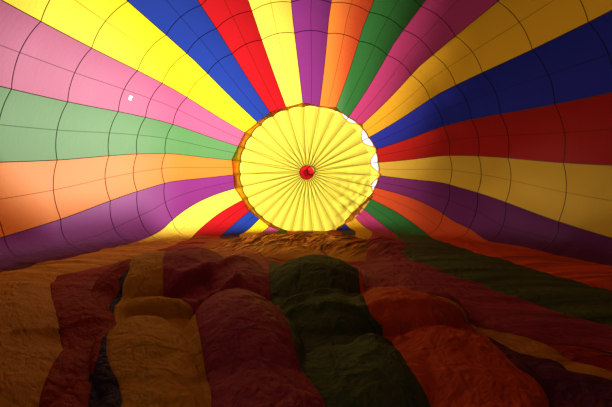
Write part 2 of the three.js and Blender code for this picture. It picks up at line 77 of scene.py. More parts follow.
# Where the seams lie on the ground, in metres right of the middle, at distances from the crown
GROUND_STATIONS = (3.5, 8.0, 11.0, 13.5, 15.2, 16.25, 16.9)
GROUND_SEAMS = {
    24: (7.0, 7.45, 7.45, 7.0, 5.9, 5.05, 4.5),
    25: (5.62, 5.4, 5.45, 5.4, 5.1, 4.6, 4.1),
    26: (4.05, 3.2, 3.25, 3.75, 4.35, 4.2, 3.6),
    27: (2.8, 1.9, 1.35, 1.4, 2.95, 3.85, 3.2),
    28: (2.04, 0.5, 1.35, 1.4, 2.9, 3.65, 3.05),
    29: (1.46, 0.45, 1.35, 1.4, 2.86, 3.45, 2.85),
    30: (0.9, 0.4, 1.35, 1.4, 2.7, 3.1, 2.55),
    31: (0.25, -1.66, 1.35, 1.4, 2.3, 2.85, 2.3),
    0: (0.1, -1.7, 1.25, 1.3, 2.12, 1.85, 1.48),
    1: (-1.0, -1.74, 1.2, 0.98, 1.01, 0.99, 0.76),
    2: (-1.55, -1.78, -0.85, -0.45, -0.12, 0.17, 0.13),
    3: (-2.1, -3.2, -3.15, -2.1, -1.13, -0.76, -0.56),
    4: (-2.8, -4.2, -3.95, -2.86, -2.05, -1.44, -1.1),
    5: (-3.7, -4.4, -4.15, -3.04, -2.24, -1.72, -1.31),
    6: (-5.1, -4.9, -5.4, -4.0, -2.65, -2.11, -1.61),
    7: (-6.6, -6.9, -6.85, -6.6, -5.4, -4.7, -4.3),
}
MORE_PLACES = {
    24: ((4.5, 7.2), (5.7, 7.05), (7.0, 7.42)),
    25: ((6.0, 5.62), (8.5, 5.35), (10.5, 5.5), (12.0, 5.39), (12.8, 5.4)),
    28: ((4.6, 1.2), (6.0, 0.6), (9.3, 0.6)),
    29: ((4.6, 0.8), (6.0, 0.55), (9.3, 0.55)),
    30: ((4.6, 0.6), (6.0, 0.5), (9.3, 0.5)),
    31: ((4.5, -1.5), (6.0, -1.95), (9.3, -1.2), (9.8, -0.6), (10.5, 1.25)),
    0: ((4.5, -1.58), (6.0, -1.98), (9.3, -1.25), (9.8, -0.7), (10.5, 1.2), (12.2, 1.1),
        (13.0, 1.0), (13.76, 1.41), (14.2, 1.61)),
    1: ((4.5, -1.62), (6.0, -2.02), (9.3, -1.3), (9.9, -0.8), (10.6, 1.15)),
    2: ((4.5, -1.75), (6.0, -2.05), (9.2, -1.36), (9.8, -0.95)),
    3: ((4.5, -2.3), (5.5, -2.6), (7.2, -2.7)),
    4: ((4.5, -2.75), (5.5, -2.72), (7.2, -2.78)),
    5: ((5.0, -2.8), (7.2, -2.85)),
}
TUCKED_SEAMS = range(27, GORES)  # they lie under the edge of gore 1 in the stretch below
TUCKED_FROM, TUCKED_TO = (9.9, 0.5), (14.4, 0.3)
SEAM_GAP = 0.003  # seams that are hidden in one fold stay this far apart

# The same seams as they are seen from the mouth, in the picture's points from its upper left corner
SEEN_SEAMS = {
    6: ((120, 262), (86, 270), (58, 276), (50, 284), (52, 300), (58, 319),
        (61, 345), (64, 350), (50, 370), (38, 407)),
    5: ((138, 264), (127, 271), (118, 279), (121, 288), (112, 300), (108, 309), (120, 319), (111, 331),
        (103, 336), (99, 354), (92, 380), (88, 407)),
    4: ((129, 271), (123, 284), (122, 297), (113, 311), (117, 324), (107, 335), (106, 354), (111, 370),
        (119, 383), (123, 407)),
    3: ((163, 258), (163, 279), (165, 300), (193, 305), (197, 324), (201, 345), (210, 386), (212, 407)),
    2: ((269, 273), (270, 295), (280, 308), (288, 324), (294, 345), (300, 366), (315, 386), (327, 407)),
    1: ((359, 275), (360, 287), (367, 305), (369, 316), (383, 325), (393, 345), (401, 354), (410, 370),
        (420, 384), (432, 407)),
    0: ((464, 314), (466, 328), (486, 333), (503, 353), (522, 374), (537, 380), (543, 401), (555, 407)),
    27: ((480, 326), (552, 345), (612, 351)),
    31: ((495, 340), (522, 355), (551, 367), (576, 368), (612, 379)),
    30: ((489, 330), (546, 344), (569, 363), (612, 370)),
    26: ((400, 251), (427, 266), (450, 275), (481, 284), (519, 298), (541, 306), (569, 316), (612, 327)),
}
PICTURE_MIDDLE = (306.0, 203.5)
PICTURE_WIDTH = 612.0
PICTURE_FOCUS = 350.0  # focal length in the picture's points
EYE_FROM_CROWN, EYE_HEIGHT = 19.0, 1.6
SIGHT_STARTS, SIGHT_STOPS, SIGHT_STEP = 1.6, 2.0, 0.01  # from the eye, from the crown, and between
SEEN_MARGIN, SMOOTHED_OVER = 0.5, 3  # metres beside a seam's seen part, and stations on either side

# Lobes of slack cloth on the ground: metres right of the middle, metres from the crown, half width,
# half length, height, how far it leans to the right for each metre towards the mouth, and fullness
LOBES = (
    (-0.74, 15.0, 0.64, 1.3, 0.43, 0.3, 0.55),
    (-0.28, 16.5, 0.55, 1.2, 0.2, 0.25, 0.6),
    (-1.6, 15.5, 0.56, 1.1, 0.2, 0.55, 0.5),
    (-1.0, 16.7, 0.5, 0.9, 0.16, 0.4, 0.6),
    (-2.05, 14.12, 0.64, 0.27, 0.22, 0.0, 0.5),
    (-2.75, 11.9, 1.15, 1.8, 0.6, 0.0, 0.5),
    (-1.2, 12.3, 0.75, 1.3, 0.34, 0.2, 0.9),
    (0.13, 12.15, 1.1, 1.35, 0.43, 0.0, 0.85),
    (0.3, 14.3, 0.8, 0.72, 0.2, 0.0, 0.6),
    (0.72, 15.9, 0.42, 0.62, 0.2, 0.0, 0.5),
    (0.3, 16.1, 0.5, 0.8, 0.14, 0.0, 0.7),
    (1.35, 14.25, 0.76, 0.75, 0.27, 0.0, 0.25),
    (1.4, 15.8, 0.58, 0.85, 0.14, 0.0, 0.3),
    (1.2, 16.6, 0.45, 0.6, 0.1, 0.0, 0.7),
    (-2.95, 13.8, 0.6, 1.3, 0.14, 0.2, 0.7),
    (-2.5, 15.9, 0.45, 0.7, 0.12, 0.4, 0.7),
    (-3.9, 14.6, 1.1, 1.8, 0.1, 0.3, 1.4),
    (-1.6, 5.6, 2.3, 2.0, 0.12, 0.0, 1.2),
    (0.9, 6.0, 2.6, 2.0, 0.12, 0.0, 1.2),
    (2.9, 7.0, 2.4, 2.4, 0.2, 0.0, 1.4),
    (-0.2, 8.6, 2.0, 1.4, 0.1, 0.0, 1.2),
    (3.6, 12.0, 2.0, 3.0, 0.1, 0.3, 1.0),
)
LOBE_SHARPNESS = 55.0  # how tightly two lobes meet

# Ridges of folded cloth: from x, d to x, d, with a half width and a height
RIDGES = (
    (-1.95, 13.1, -1.65, 12.2, 0.15, 0.16),
    (-1.65, 12.2, -1.1, 11.2, 0.19, 0.17),
    (-1.57, 13.83, -1.2, 13.1, 0.13, 0.13),
    (-0.35, 14.15, 0.15, 13.9, 0.12, 0.08),
    (0.15, 13.9, 0.8, 13.55, 0.12, 0.09),
    (-0.18, 14.5, 1.0, 14.6, 0.1, 0.07),
    (0.55, 15.4, 0.95, 15.35, 0.09, 0.06),
    (1.0, 14.65, 1.95, 14.8, 0.08, 0.06),
    (-2.9, 6.6, -1.3, 5.7, 0.12, 0.12),
    (-2.3, 7.9, -1.2, 6.4, 0.11, 0.11),
    (-1.3, 8.2, -0.1, 6.3, 0.12, 0.12),
    (-0.5, 8.2, 0.8, 6.2, 0.11, 0.12),
    (0.5, 8.2, 1.7, 6.3, 0.12, 0.12),
    (1.4, 8.4, 2.7, 6.6, 0.12, 0.11),
    (-3.3, 15.0, -2.6, 14.6, 0.06, 0.05),
    (1.2, 15.4, 1.7, 16.0, 0.07, 0.05),
)

# The heap of gathered cloth below the valve: half width, distance from the crown and half length
HEAP_WIDE, HEAP_FROM_CROWN, HEAP_LONG = 3.0, 6.4, 2.6
ROPE_LEAN, ROPE_WIDTH, ROPE_LENGTH, ROPE_SEED = 0.8, 0.7, 2.4, 41
ROPE_CREASE_SHARE, ROPE_CREASE_SQUEEZE = 0.6, 0.6
HEAP_HEIGHT = 0.13
# How far the heap's strands lean to the right for each metre away from the mouth, how much more at
# the right, and the y from which that is measured
STRAND_LEAN, STRAND_FAN, FAN_FROM = 0.5, 0.35, 3.96

# Relief of the cloth: height, width, length and seed of its noise
STRANDS = (0.07, 0.15, 0.8, 43)
RIPPLES, FINE_RIPPLES, RIPPLE_SHIFT = (0.04, 2.4, 0.4, 23), (0.014, 1.2, 0.18, 29), 5.0
GATHERS = (0.016, 0.11, 0.9, 31)
WRINKLES, WRINKLE_SHIFT = (0.006, 0.5, 0.9, 50), 7  # of taut cloth, with a shift from gore to gore
# Crumpled cloth: size, seed and octaves of its creases
ROPE_CREASES, FOLDS, FINE_FOLDS, VALVE_FOLDS = (1.1, 45, 2), (0.62, 7, 3), (0.27, 15, 3), (0.45, 61, 3)
FOLD_HEIGHT, FOLD_SQUEEZE, FINE_FOLD_HEIGHT = 0.04, 0.8, 0.02
CREASE_TURN, CREASE_TURNS_ON, CREASE_WEIGHT = 0.5, 1.1, 0.55  # of the first octave, and from one to the next
CREASE_BEND, BEND_SHIFT, BEND_SEED = 0.35, 9.0, 20
CREASE_TOP, CREASE_ROUND = 0.3, 0.004
NOISE_CELLS = 64

# Where these lie: the first number is where they begin or end, the second how far they take to grow or fade
VALVE_PASSED = (2.3, 1.5)
RIPPLES_RIGHT_OF, RIPPLES_PAST = (1.9, 1.2), (6.0, 3.0)
RIPPLES_LEFT_OF, RIPPLES_UP_TO = (3.4, 0.8), (12.0, 1.0)
GATHERS_LEFT_OF, GATHERS_PAST = (3.0, 0.6), (11.5, 1.5)
FLATTER_AT_RIGHT, THINNEST = 0.75, 0.012

BASE_LIFT = 0.03  # folded cloth lies under all of the ground's cloth
STACK_LIFT, STACK_REACH, STACK_FROM = 0.07, 1.3, (3.0, 2.0)  # and more under the gores that are folded away
STACK_SEAM = 31

# Slack that is folded away under a gore's lower seam: its place in the stack of folds, where folds lie,
# how far they reach, their levels, and shares of the reach and of the drop at each column of the sheet
FOLD_ORDER = {
    1: 6, 2: 0, 3: 1, 4: 0, 5: 1, 6: 2, 7: 3, 24: 0, 25: 0, 26: 1, 27: 0, 28: 1, 29: 2, 30: 3, 31: 4, 32: 5,
}
FOLD_INSIDE, FOLD_EASES, FOLDS_FROM, FOLDS_TO = 0.12, 0.3, (3.0, 1.2), (19.5, 1.5)
FOLD_REACH, FOLD_LEVEL, FOLD_LAYER, FOLD_GAP = 1.05, 0.007, 0.008, 0.004
FOLD_UNDER, FOLD_SINKS = 0.003, 0.001
FOLD_COLUMNS = ((0.1, 1.0), (0.5, 1.0), (1.0, 1.0), (1.0, 1.03), (0.5, 1.03), (0.02, 1.03))
FOLD_WIDTHS = (0.02, 0.4, 0.8, 0.82, 1.2, 1.6, 1.62)  # cloth's width at the columns, from the seam on

# Cloth lengths from the crown opening's edge at which panels are joined by a ring seam
RING_SEAMS = (4.0, 5.5, 6.88, 9.2, 11.35, 13.4, 15.4, 17.4, 19.4, 21.4)
SUNNY_WALL, SUNNY_VEIL = (-8.2, -5.6), 0.13  # where sunlight washes the cloth's colour out, and how much
# Painted shadow on the left wall's foot: it lets less light through below these heights, at distances from
# the crown
PAINTED_SHADOW_BELOW, PAINTED_SHADOW_FADE, PAINTED_SHADOW_FROM = ((8.0, 9.5, 10.8), (2.2, 3.1, 4.2)), 2.4, (3.0, 1.5)
SHADED_WALL = (1.0, 2.4)  # where the light begins to change, and where each cloth's light is tinted as below
SHADED_TINTS = {
    "orange": (0.85, 0.4, 0.7),
    "green": (0.33, 0.6, 0.42),
    "pink": (0.95, 0.45, 0.68),
    "yellow": (0.8, 0.52, 1.1),
    "lemon": (0.66, 0.56, 0.55),
    "blue": (1.5, 0.75, 1.0),
    "red": (1.0, 1.6, 0.9),
    "purple": (0.9, 1.0, 0.75),
}
# Ring seams count the cloth as longer at the first row's seams by the second row's metres or shares
RING_SHIFT = ((0.0, 6.0, 7.0, 8.5, 15.4, 21.0), (0.0, -0.05, -0.15, -0.15, 0.2, 0.0))
RING_STRETCH = ((6.0, 7.0, 12.0, 15.4), (0.0, 0.05, 0.05, 0.0))
# Cloth that lies in layers: how bright each colour's is, the painted tint of the warm light on it, and a
# colour added to it
LAYER_SHARE = {"yellow": 0.62, "lemon": 0.62, "blue": 0.5}
LAYER_LIGHT_TINT, LAYER_ADDED = (1.0, 0.75, 0.85), (0.036, 0.022, 0.013)
# Strands of the heap: painted golden light from the left to past the middle, and darker red-brown strands in
# places
GOLDEN_LIGHT, GOLDEN_LIGHT_ENDS, GOLDEN_LIGHT_SHARE = (0.95, 0.58, 0.13), (0.7, 1.9), 0.9
RED_BROWN, RED_BROWN_PLACES, RED_BROWN_SHARE = (0.36, 0.09, 0.02), (0.42, 0.58), 0.7
# The band round the crown opening: its colour, its width as a share of the opening's radius, how strong it
# is, the places right of the middle where it is wide and where it ends, and the y from which it begins
BAND, BAND_WIDTH, BAND_SHARE = (0.85, 0.42, 0.08), 0.065, 0.8
BAND_ENDS, BAND_FROM, BAND_EDGE = (-2.9, -1.2), 9.0, 0.01
GORE_COLOURS = ("orange", "green", "pink", "yellow", "blue", "red", "yellow", "purple")
PALER_YELLOW = 7  # of the eight colours, which is yellow cloth of a paler kind

VALVE_RADIUS, VALVE_HEM = 3.46, 0.1
VALVE_MIDDLE = (0.03, 3.27)
VALVE_BEHIND, VALVE_INSET, VALVE_PUFF, PUFF_ROUND, PUFF_GROWS = 0.0856, 0.02, 0.09, 0.8, 2.2
# Overlap of the valve's edge over the cloth, the rest of it at the left, and where the edge is scalloped,
# each with an angle from the top and a spread in degrees
VALVE_OVERLAP, LEFT_OVERLAP, LEFT_LAPS = 0.06, 0.26, (-88.0, 42.0)
RIGHT_SCALLOPS, SCALLOPS_END, LEFT_SCALLOPS, SCALLOP_ROUND = (71.0, 52.0), (116.0, 12.0), 0.16, 1.3
# The lower right of the valve hangs towards the mouth
SAG, SAG_EVEN, SAG_RIGHT_OF, SAG_BELOW, SAG_PAST = 0.16, 0.35, (0.9, 1.4), (-0.4, 1.6), (0.4, 0.3)
VALVE_LOWEST, VALVE_TURN_UP = 0.125, 0.5
PATCH_RADIUS, PATCH_HOLE, PATCH_BEHIND, UNDER_PATCH = 0.39, 0.012, 0.012, 0.02
PATCHED_GORE, PATCH_FROM_MIDDLE, PATCH_FROM_CROWN, PATCH_SHAPE = 11, -0.24, 5.06, 0.42
HEM_THROUGH = 0.7  # share of light that the hem lets through
TAPE_UNDER = 0.006  # how far the webbing lies under the slack cloth
# Load tapes over the ring, up to the rim and past the mouth, and how far low ones are held off the floor
TAPE_OVER_RING, TAPE_UNDER_RIM, TAPE_LIFT = 0.02, 0.03, 0.005
TAPE_PAST_MOUTH, TAPE_CLEAR, LOW_TAPES, BESIDE_SEAM = 0.05, 0.001, 0.7, 0.02
# Their end loops: an eye between two legs
LOOP_GAP, LOOP_LENGTH, LOOP_END, LOOP_FOOT = 0.02, 0.15, 0.03, 0.052
LOOP_LEGS, LEG_WIDTH, LEG_STEPS = (0.05, 0.122), 0.01, 6
# Webbing round the mouth and behind the rim of the opening
HOOP_SHARE, HOOP_LIFT, HOOP_THICKNESS, BEFORE_MOUTH = 0.45, 0.003, 0.004, 0.1
RIM_BEHIND, FLAT_TAPE, AFTER_RIM = 0.006, 0.003, 0.02
# The metal ring at the crown, and the covered ring on the valve's patch
RING_RADIUS, RING_INNER, RING_HALF, RING_LIFT = 0.25, 0.2, 0.012, 0.005
RING_BEVEL, BEVEL_STEPS, BEVEL_ANGLE, SMOOTH_ANGLE, FLAT_FACE = 0.005, 3, 50, 40, 0.9
PULL_RING_RADIUS, PULL_RING_CORD, COVER_WIDTH, WRAPPING = 0.15, 0.012, 0.03, (0.02, 0.002)

# How finely the pieces are divided
WALL_COLUMNS, GROUND_COLUMNS, CROWN_STEPS, HOOP_STEPS = 15, 39, 16, 6
VALVE_STEPS, VALVE_ROWS, PATCH_STEPS, PATCH_ROWS = 9, 46, 3, 14
ROUND_STEPS, CORD_STEPS = 96, 14

FLOOR_SIZE, SENSOR_WIDTH, SIGHT_RANGE = 240.0, 36.0, (0.05, 500.0)
SUN_FROM, SUN_COLOUR, SKY_COLOUR = (-0.54, 0.76, 0.28), (1.0, 0.95, 0.86), (0.93, 0.97, 1.0, 1.0)


def smooth(t):
    t = np.clip(t, 0.0, 1.0)
    return t * t * (3.0 - 2.0 * t)


def rise(value, start, over):
    """0 up to start, and from there softly up to 1 at start + over."""
    return smooth((value - start) / over)


def bell(value, middle, spread):
    return np.exp(-(((value - middle) / spread) ** 2))


def axis_height(d):
    return AXIS_AT_CROWN - AXIS_RISE * d


def axis_shift(d):
    return OPENING_SHIFT * np.maximum(0.0, 1.0 - d / SHIFT_ENDS)


def radius_at(d):
    t = np.clip(1.0 - d / WIDEST, 0.0, 1.0)
    dome = WIDEST_RADIUS * (1.0 - t**DOME_POWER) ** (1.0 / DOME_POWER)
    t = np.clip((d - WIDEST) / (MOUTH - WIDEST), 0.0, 1.0)
    throat = WIDEST_RADIUS - (WIDEST_RADIUS - MOUTH_RADIUS) * t**THROAT_POWER
    return np.where(d < WIDEST, dome, throat)


def depth_at(r):
    t = (1.0 - (np.asarray(r) / WIDEST_RADIUS) ** DOME_POWER) ** (1.0 / DOME_POWER)
    return WIDEST * (1.0 - t)


RIM = float(depth_at(OPENING_RADIUS))
OPENING_MIDDLE = (float(axis_shift(RIM)), 0.0, float(axis_height(RIM)))
OPENING_SCALE = (
    1.0 / (OPENING_RADIUS * (1.0 + OPENING_WIDER)), 0.0, 1.0 / (OPENING_RADIUS * (1.0 - OPENING_LOWER))
)


def section(d):
    """Radius, axis height, arc down to the ground, half the chord on the ground, and the whole way round."""
    radius, height = radius_at(d), axis_height(d)
    foot = np.where(height < radius, np.arccos(np.clip(-height / radius, -1.0, 1.0)), math.pi)
    arc, half = radius * foot, radius * np.sin(foot)
    return radius, height, arc, half, 2.0 * (arc + half)


def seam_angle(seam, d):
    """Angle of a seam on the wall, from the top and to the right."""
    count = seam - TOP_SEAM
    full = SEAM_ANGLE_LEFT if count < 0 else SEAM_ANGLE_RIGHT
    squeeze = (full * GORES / 2 - 180.0) / (GORES / 2) ** 2
    near = np.maximum(0.0, (ANGLE_EVENS_OUT - d) / (ANGLE_EVENS_OUT - RIM))
    shoulder = rise(d, RIM, SHOULDER_RISE) * (1.0 - rise(d, *SHOULDER_FALL))
    angle = full * abs(count) - (squeeze * near**SQUEEZE_POWER + SHOULDER_LIFT * shoulder) * count * count
    return np.sign(count) * np.radians(angle)


def pulled_in(angle):
    """Share of the opening's radius that is left at an angle from the top, where the edge is pulled in."""
    return 1.0 - PULLED_BY * bell(np.degrees(angle), PULLED_AT, PULLED_WIDE)


def wide_and_low(angle, near):
    """Shares of the width and the height near the opening, at an angle from the top."""
    left = 1.0 - (1.0 - pulled_in(angle)) * near
    return left * (1.0 + OPENING_WIDER * near), left * (1.0 - OPENING_LOWER * near)


def stretched(d, x, z):
    """Cloth near the crown, which is wider and lower than the rest of the shape."""
    near = np.clip(1.0 - (d - RIM) / OPENING_EASES, 0.0, 1.0)
    middle = axis_height(d)
    wide, low = wide_and_low(np.arctan2(x, z - middle), near)
    return axis_shift(d) + x * wide, middle + (z - middle) * low


# Soft shapes of slack cloth


def lattice_noise(x, y, seed):
    """Smooth noise from -1 to 1 whose features are one unit wide."""
    table = np.random.default_rng(seed).uniform(-1.0, 1.0, (NOISE_CELLS, NOISE_CELLS))
    i, j = np.floor(x).astype(int), np.floor(y).astype(int)
    u, v = smooth(x - i), smooth(y - j)

    def corner(a, b):
        return table[(i + a) % NOISE_CELLS, (j + b) % NOISE_CELLS]

    low = corner(0, 0) * (1 - u) + corner(1, 0) * u
    high = corner(0, 1) * (1 - u) + corner(1, 1) * u
    return low * (1 - v) + high * v


def relief(x, y, height, width, length, seed, shift=0.0):
    """Soft noise of a height, with features of a width along x and a length along y."""
    return height * lattice_noise(x / width + shift, y / length, seed)


def crumple(x, y, size, seed, octaves):
    """Creases with softly rounded ridges, as in crumpled cloth."""
    total, weight = 0.0, 1.0
    for k in range(octaves):
        turn = CREASE_TURN + CREASE_TURNS_ON * k
        u = (x * math.cos(turn) + y * math.sin(turn)) / size * 2**k
        v = (y * math.cos(turn) - x * math.sin(turn)) / size * 2**k
        bend = CREASE_BEND * lattice_noise(u * 0.5 + BEND_SHIFT, v * 0.5, seed + BEND_SEED)
        n = lattice_noise(u + bend, v - bend, seed + k)
        total = total + weight * (CREASE_TOP - np.sqrt(n * n + CREASE_ROUND))
        weight *= CREASE_WEIGHT
    return total


def lobe_height(x, d):
    """Height of the lobes of slack cloth, which meet in soft valleys."""
    total = np.ones_like(x)
    for x0, d0, half_width, half_length, height, lean, fullness in LOBES:
        across = (x - x0 - lean * (d - d0)) / half_width
        along = (d - d0) / half_length
        swell = np.clip(1.0 - across**2 - along**2, 0.0, 1.0) ** fullness
        total = total + np.exp(LOBE_SHARPNESS * height * swell) - 1.0
    return np.log(total) / LOBE_SHARPNESS


def ridge_height(x, d):
    total = np.zeros_like(x)
    for x0, d0, x1, d1, half_width, height in RIDGES:
        run = (x1 - x0) ** 2 + (d1 - d0) ** 2
        t = np.clip(((x - x0) * (x1 - x0) + (d - d0) * (d1 - d0)) / run, 0.0, 1.0)
        off = np.hypot(x - x0 - t * (x1 - x0), d - d0 - t * (d1 - d0))
        total = np.maximum(total, height * bell(off, 0.0, half_width))
    return total


def heap_share(x, d):
    """How far a place belongs to the heap of gathered cloth below the valve."""
    return np.exp(-((x / HEAP_WIDE) ** 4) - ((d - HEAP_FROM_CROWN) / HEAP_LONG) ** 4)


def ripple_share(x, d):
    """How far the cloth at a place lies in long low ripples, at the right and far at the left."""
    right = rise(x, *RIPPLES_RIGHT_OF) * rise(d, *RIPPLES_PAST)
    return right, rise(-x, *RIPPLES_LEFT_OF) * (1.0 - rise(d, *RIPPLES_UP_TO))


def past_valve(d):
    """0 where the valve slides over the ground cloth, which lies flat there, and 1 past that."""
    return rise(d, *VALVE_PASSED)


def heap_height(x, d):
    """Ropes of gathered cloth with strands on them, below the valve."""
    rope = lattice_noise((x + ROPE_LEAN * d) / ROPE_WIDTH, d / ROPE_LENGTH, ROPE_SEED)
    rope = rope + ROPE_CREASE_SHARE * crumple(x * ROPE_CREASE_SQUEEZE, d, *ROPE_CREASES)
    fan = (CROWN_Y - d - FAN_FROM) * (STRAND_LEAN + STRAND_FAN * np.maximum(x, 0.0))
    return heap_share(x, d) * (HEAP_HEIGHT * rope + relief(x - fan, d, *STRANDS) + HEAP_HEIGHT)


def ground_height(x, d, half):
    """Height of the cloth that lies on the ground, at x right of the middle and d from the crown."""
    edge = smooth((half - np.abs(x)) / FOOT_MARGIN)
    stack = x - np.interp(d, GROUND_STATIONS, GROUND_SEAMS[STACK_SEAM])
    height = BASE_LIFT + STACK_LIFT * bell(stack, 0.0, STACK_REACH) * rise(d, *STACK_FROM)
    height = height + lobe_height(x, d) + ridge_height(x, d) + heap_height(x, d)
    fold = FOLD_HEIGHT * crumple(x, d * FOLD_SQUEEZE, *FOLDS) + FINE_FOLD_HEIGHT * crumple(x, d, *FINE_FOLDS)
    fold = fold * past_valve(d)
    right, far_left = ripple_share(x, d)
    ripple = relief(x, d, *RIPPLES, shift=RIPPLE_SHIFT) + relief(x, d, *FINE_RIPPLES)
    gathers = rise(-x, *GATHERS_LEFT_OF) * rise(d, *GATHERS_PAST) * relief(x, d, *GATHERS)
    height = height + fold * (1.0 - FLATTER_AT_RIGHT * right) + right * ripple + gathers + far_left * ripple
    return LOWEST + edge * np.maximum(height, THINNEST)


def on_ground(u, v):
    """The ground place, x and d, that shows at a point of the picture."""
    ahead = np.arange(SIGHT_STARTS, EYE_FROM_CROWN - SIGHT_STOPS, SIGHT_STEP)
    x = (u - PICTURE_MIDDLE[0]) / PICTURE_FOCUS * ahead
    z = EYE_HEIGHT - (v - PICTURE_MIDDLE[1]) / PICTURE_FOCUS * ahead
    d = EYE_FROM_CROWN - ahead
    hit = z <= ground_height(x, d, section(d)[3])
    first = int(np.argmax(hit)) if hit.any() else len(ahead) - 1
    return float(x[first]), float(d[first])


def seam_run(seam):
    """Places on the ground of one seam at the distances SEAM_D, the seen part from the picture."""
    places = dict(zip(GROUND_STATIONS, GROUND_SEAMS[seam]))
    if seam in SEEN_SEAMS:
        seen = sorted((d, x) for x, d in (on_ground(u, v) for u, v in SEEN_SEAMS[seam]))
        low, high = seen[0][0] - SEEN_MARGIN, seen[-1][0] + SEEN_MARGIN
        places = {d: x for d, x in places.items() if not low < d < high}
        places.update(seen)
    places.update(MORE_PLACES.get(seam, ()))
    run = sorted(places.items())
    x = np.interp(SEAM_D, [p[0] for p in run], [p[1] for p in run])
    kernel = np.hanning(2 * SMOOTHED_OVER + 1)
    ends = np.pad(x, SMOOTHED_OVER, mode="edge")
    return np.convolve(ends, kernel / kernel.sum(), "valid")


def seam_runs():
    """The runs of all ground seams, from right to left, none of them crossing the one before it."""
    runs, limit = {}, np.inf
    under = seam_run(0)
    tucked = rise(SEAM_D, *TUCKED_FROM) * rise(-SEAM_D, -TUCKED_TO[0], TUCKED_TO[1])
    for seam in (*RIGHT_SEAMS, *LEFT_SEAMS):
        run = seam_run(seam)
        if seam in TUCKED_SEAMS:
            run = run + (under + SEAM_GAP * (GORES - seam) - run) * tucked
        runs[seam] = np.minimum(run, limit)
        limit = runs[seam] - SEAM_GAP
    return runs


SEAM_D = np.linspace(GROUND_STATIONS[0], GROUND_STATIONS[-1], 260)
SEAM_RUNS = seam_runs()


def seam_place(seam, d):
    """Place of a seam round the section, as a distance clockwise from the top."""
    radius, _, _, _, whole = section(d)
    evenly = (seam - TOP_SEAM) / GORES * whole
    first, last = GROUND_STATIONS[0], GROUND_STATIONS[-1]
    if seam in WALL_SEAMS:
        place = radius * seam_angle(seam, d)
    else:
        clamped = np.clip(d, first, last)
        _, _, arc, half, around = section(clamped)
        place = (arc + half - np.interp(clamped, SEAM_D, SEAM_RUNS[seam % GORES])) / around * whole
        if seam in LEFT_SEAMS:
            place = place - whole
        rim = seam_angle(seam, RIM) / (2 * math.pi) * whole
        place = np.where(d < first, rim + (place - rim) * (d - RIM) / (first - RIM), place)
    return place + (evenly - place) * np.clip((d - last) / (MOUTH - last), 0.0, 1.0)


def cloth_point(place, d, bulge, pillow):
    """Points of the cloth, and how far they belong to the ground. Arrays of one shape."""
    radius, height, arc, half, whole = section(d)
    s = (place + whole / 2) % whole - whole / 2
    side, s = np.where(s < 0, -1.0, 1.0), np.abs(s)
    f = np.minimum(FOOT_ROUND, FOOT_SHARE * half)

    def wall(at):
        r = radius + bulge * smooth((arc - at) / BULGE_FADE)
        return r * np.sin(at / radius), height + r * np.cos(at / radius)

    def ground(at):
        x = half - (at - arc)
        raised = pillow * smooth((half - np.abs(x)) / FOOT_MARGIN) * past_valve(d)
        z = ground_height(side * x, d, half) + raised
        return x, z

    t = np.clip((s - arc + f) / (2 * f), 0.0, 1.0)
    wall_x, wall_z = wall(np.minimum(s, arc - f))
    ground_x, ground_z = ground(np.maximum(s, arc + f))
    a, b, c = (1 - t) ** 2, 2 * t * (1 - t), t * t
    x = a * wall_x + b * half + c * ground_x
    z = np.maximum(a * wall_z + b * LOWEST + c * ground_z, LOWEST)
    x, z = stretched(d, side * x, z)
    return np.stack([x, CROWN_Y - d, z], axis=-1), t


# Rows of cloth along a gore

FINE_D = np.linspace(RIM, MOUTH, 6000)
FINE_LENGTH = np.concatenate([[0.0], np.cumsum(np.hypot(np.diff(FINE_D), np.diff(radius_at(FINE_D))))])
CLOTH_LENGTH = float(FINE_LENGTH[-1])


def rows_for(steps):
    """Distances from the crown of the rows, with a spacing for each stretch of cloth length."""
    starts = [s for s, _ in steps]
    spacing = np.interp(FINE_LENGTH, starts, [w for _, w in steps])
    count = np.concatenate([[0.0], np.cumsum(np.diff(FINE_LENGTH) / spacing[1:])])
    return np.interp(np.linspace(0.0, count[-1], int(count[-1]) + 2), count, FINE_D)


WALL_ROWS = rows_for([(0.0, 0.14), (CLOTH_LENGTH, 0.2)])
GROUND_ROWS = rows_for([
    (0.0, 0.13), (4.2, 0.12), (5.0, 0.07), (9.0, 0.06), (13.0, 0.045), (18.6, 0.045), (19.4, 0.14),
    (CLOTH_LENGTH, 0.16),
])


def gore_shape(g, d, shares):
    """Points of gore g in rows d and columns shares, their ground share, and their width."""
    d, t = np.broadcast_arrays(d[:, None], shares[None, :])
    left, right = seam_place(g - 1, d), seam_place(g, d)
    width = right - left
    before = left - seam_place(g - 2, d) if g > 1 else width
    after = seam_place(g + 1, d) - right if g < GORES else width
    first, last = -GORE_BULGE * (width + before) / 2, -GORE_BULGE * (width + after) / 2
    cushion = 4 * t * (1 - t)
    seams = first + (last - first) * t
    bulge = seams + (GORE_BULGE * width - seams) * cushion
    pillow = PILLOW_HEIGHT * np.minimum(np.abs(width) / PILLOW_FULL_WIDTH, 1.0) * cushion**PILLOW_POWER
    points, ground = cloth_point(left + width * t, d, bulge, pillow)
    wrinkle = relief(t * width, d, *WRINKLES, shift=WRINKLE_SHIFT * g) * cushion * (1 - ground)
    points[..., 0] += wrinkle * np.sign(points[..., 0])
    return points, ground, width


def fold_shares(points, slack):
    """Shares of the cloth in strands, in ripples, and of the painted shadow on the left wall's foot."""
    x, d, z = points[..., 0], CROWN_Y - points[..., 1], points[..., 2]
    right, far_left = ripple_share(x, d)
    below = np.interp(d, *PAINTED_SHADOW_BELOW)
    # The painted shadow darkens the left wall's foot below a height, towards the mouth
    painted_shadow = smooth((below - z) / PAINTED_SHADOW_FADE) * rise(d, *PAINTED_SHADOW_FROM) * (x < 0.0) * (1.0 - slack)
    return np.stack([heap_share(x, d) * slack, (right + far_left) * slack, painted_shadow], axis=-1)


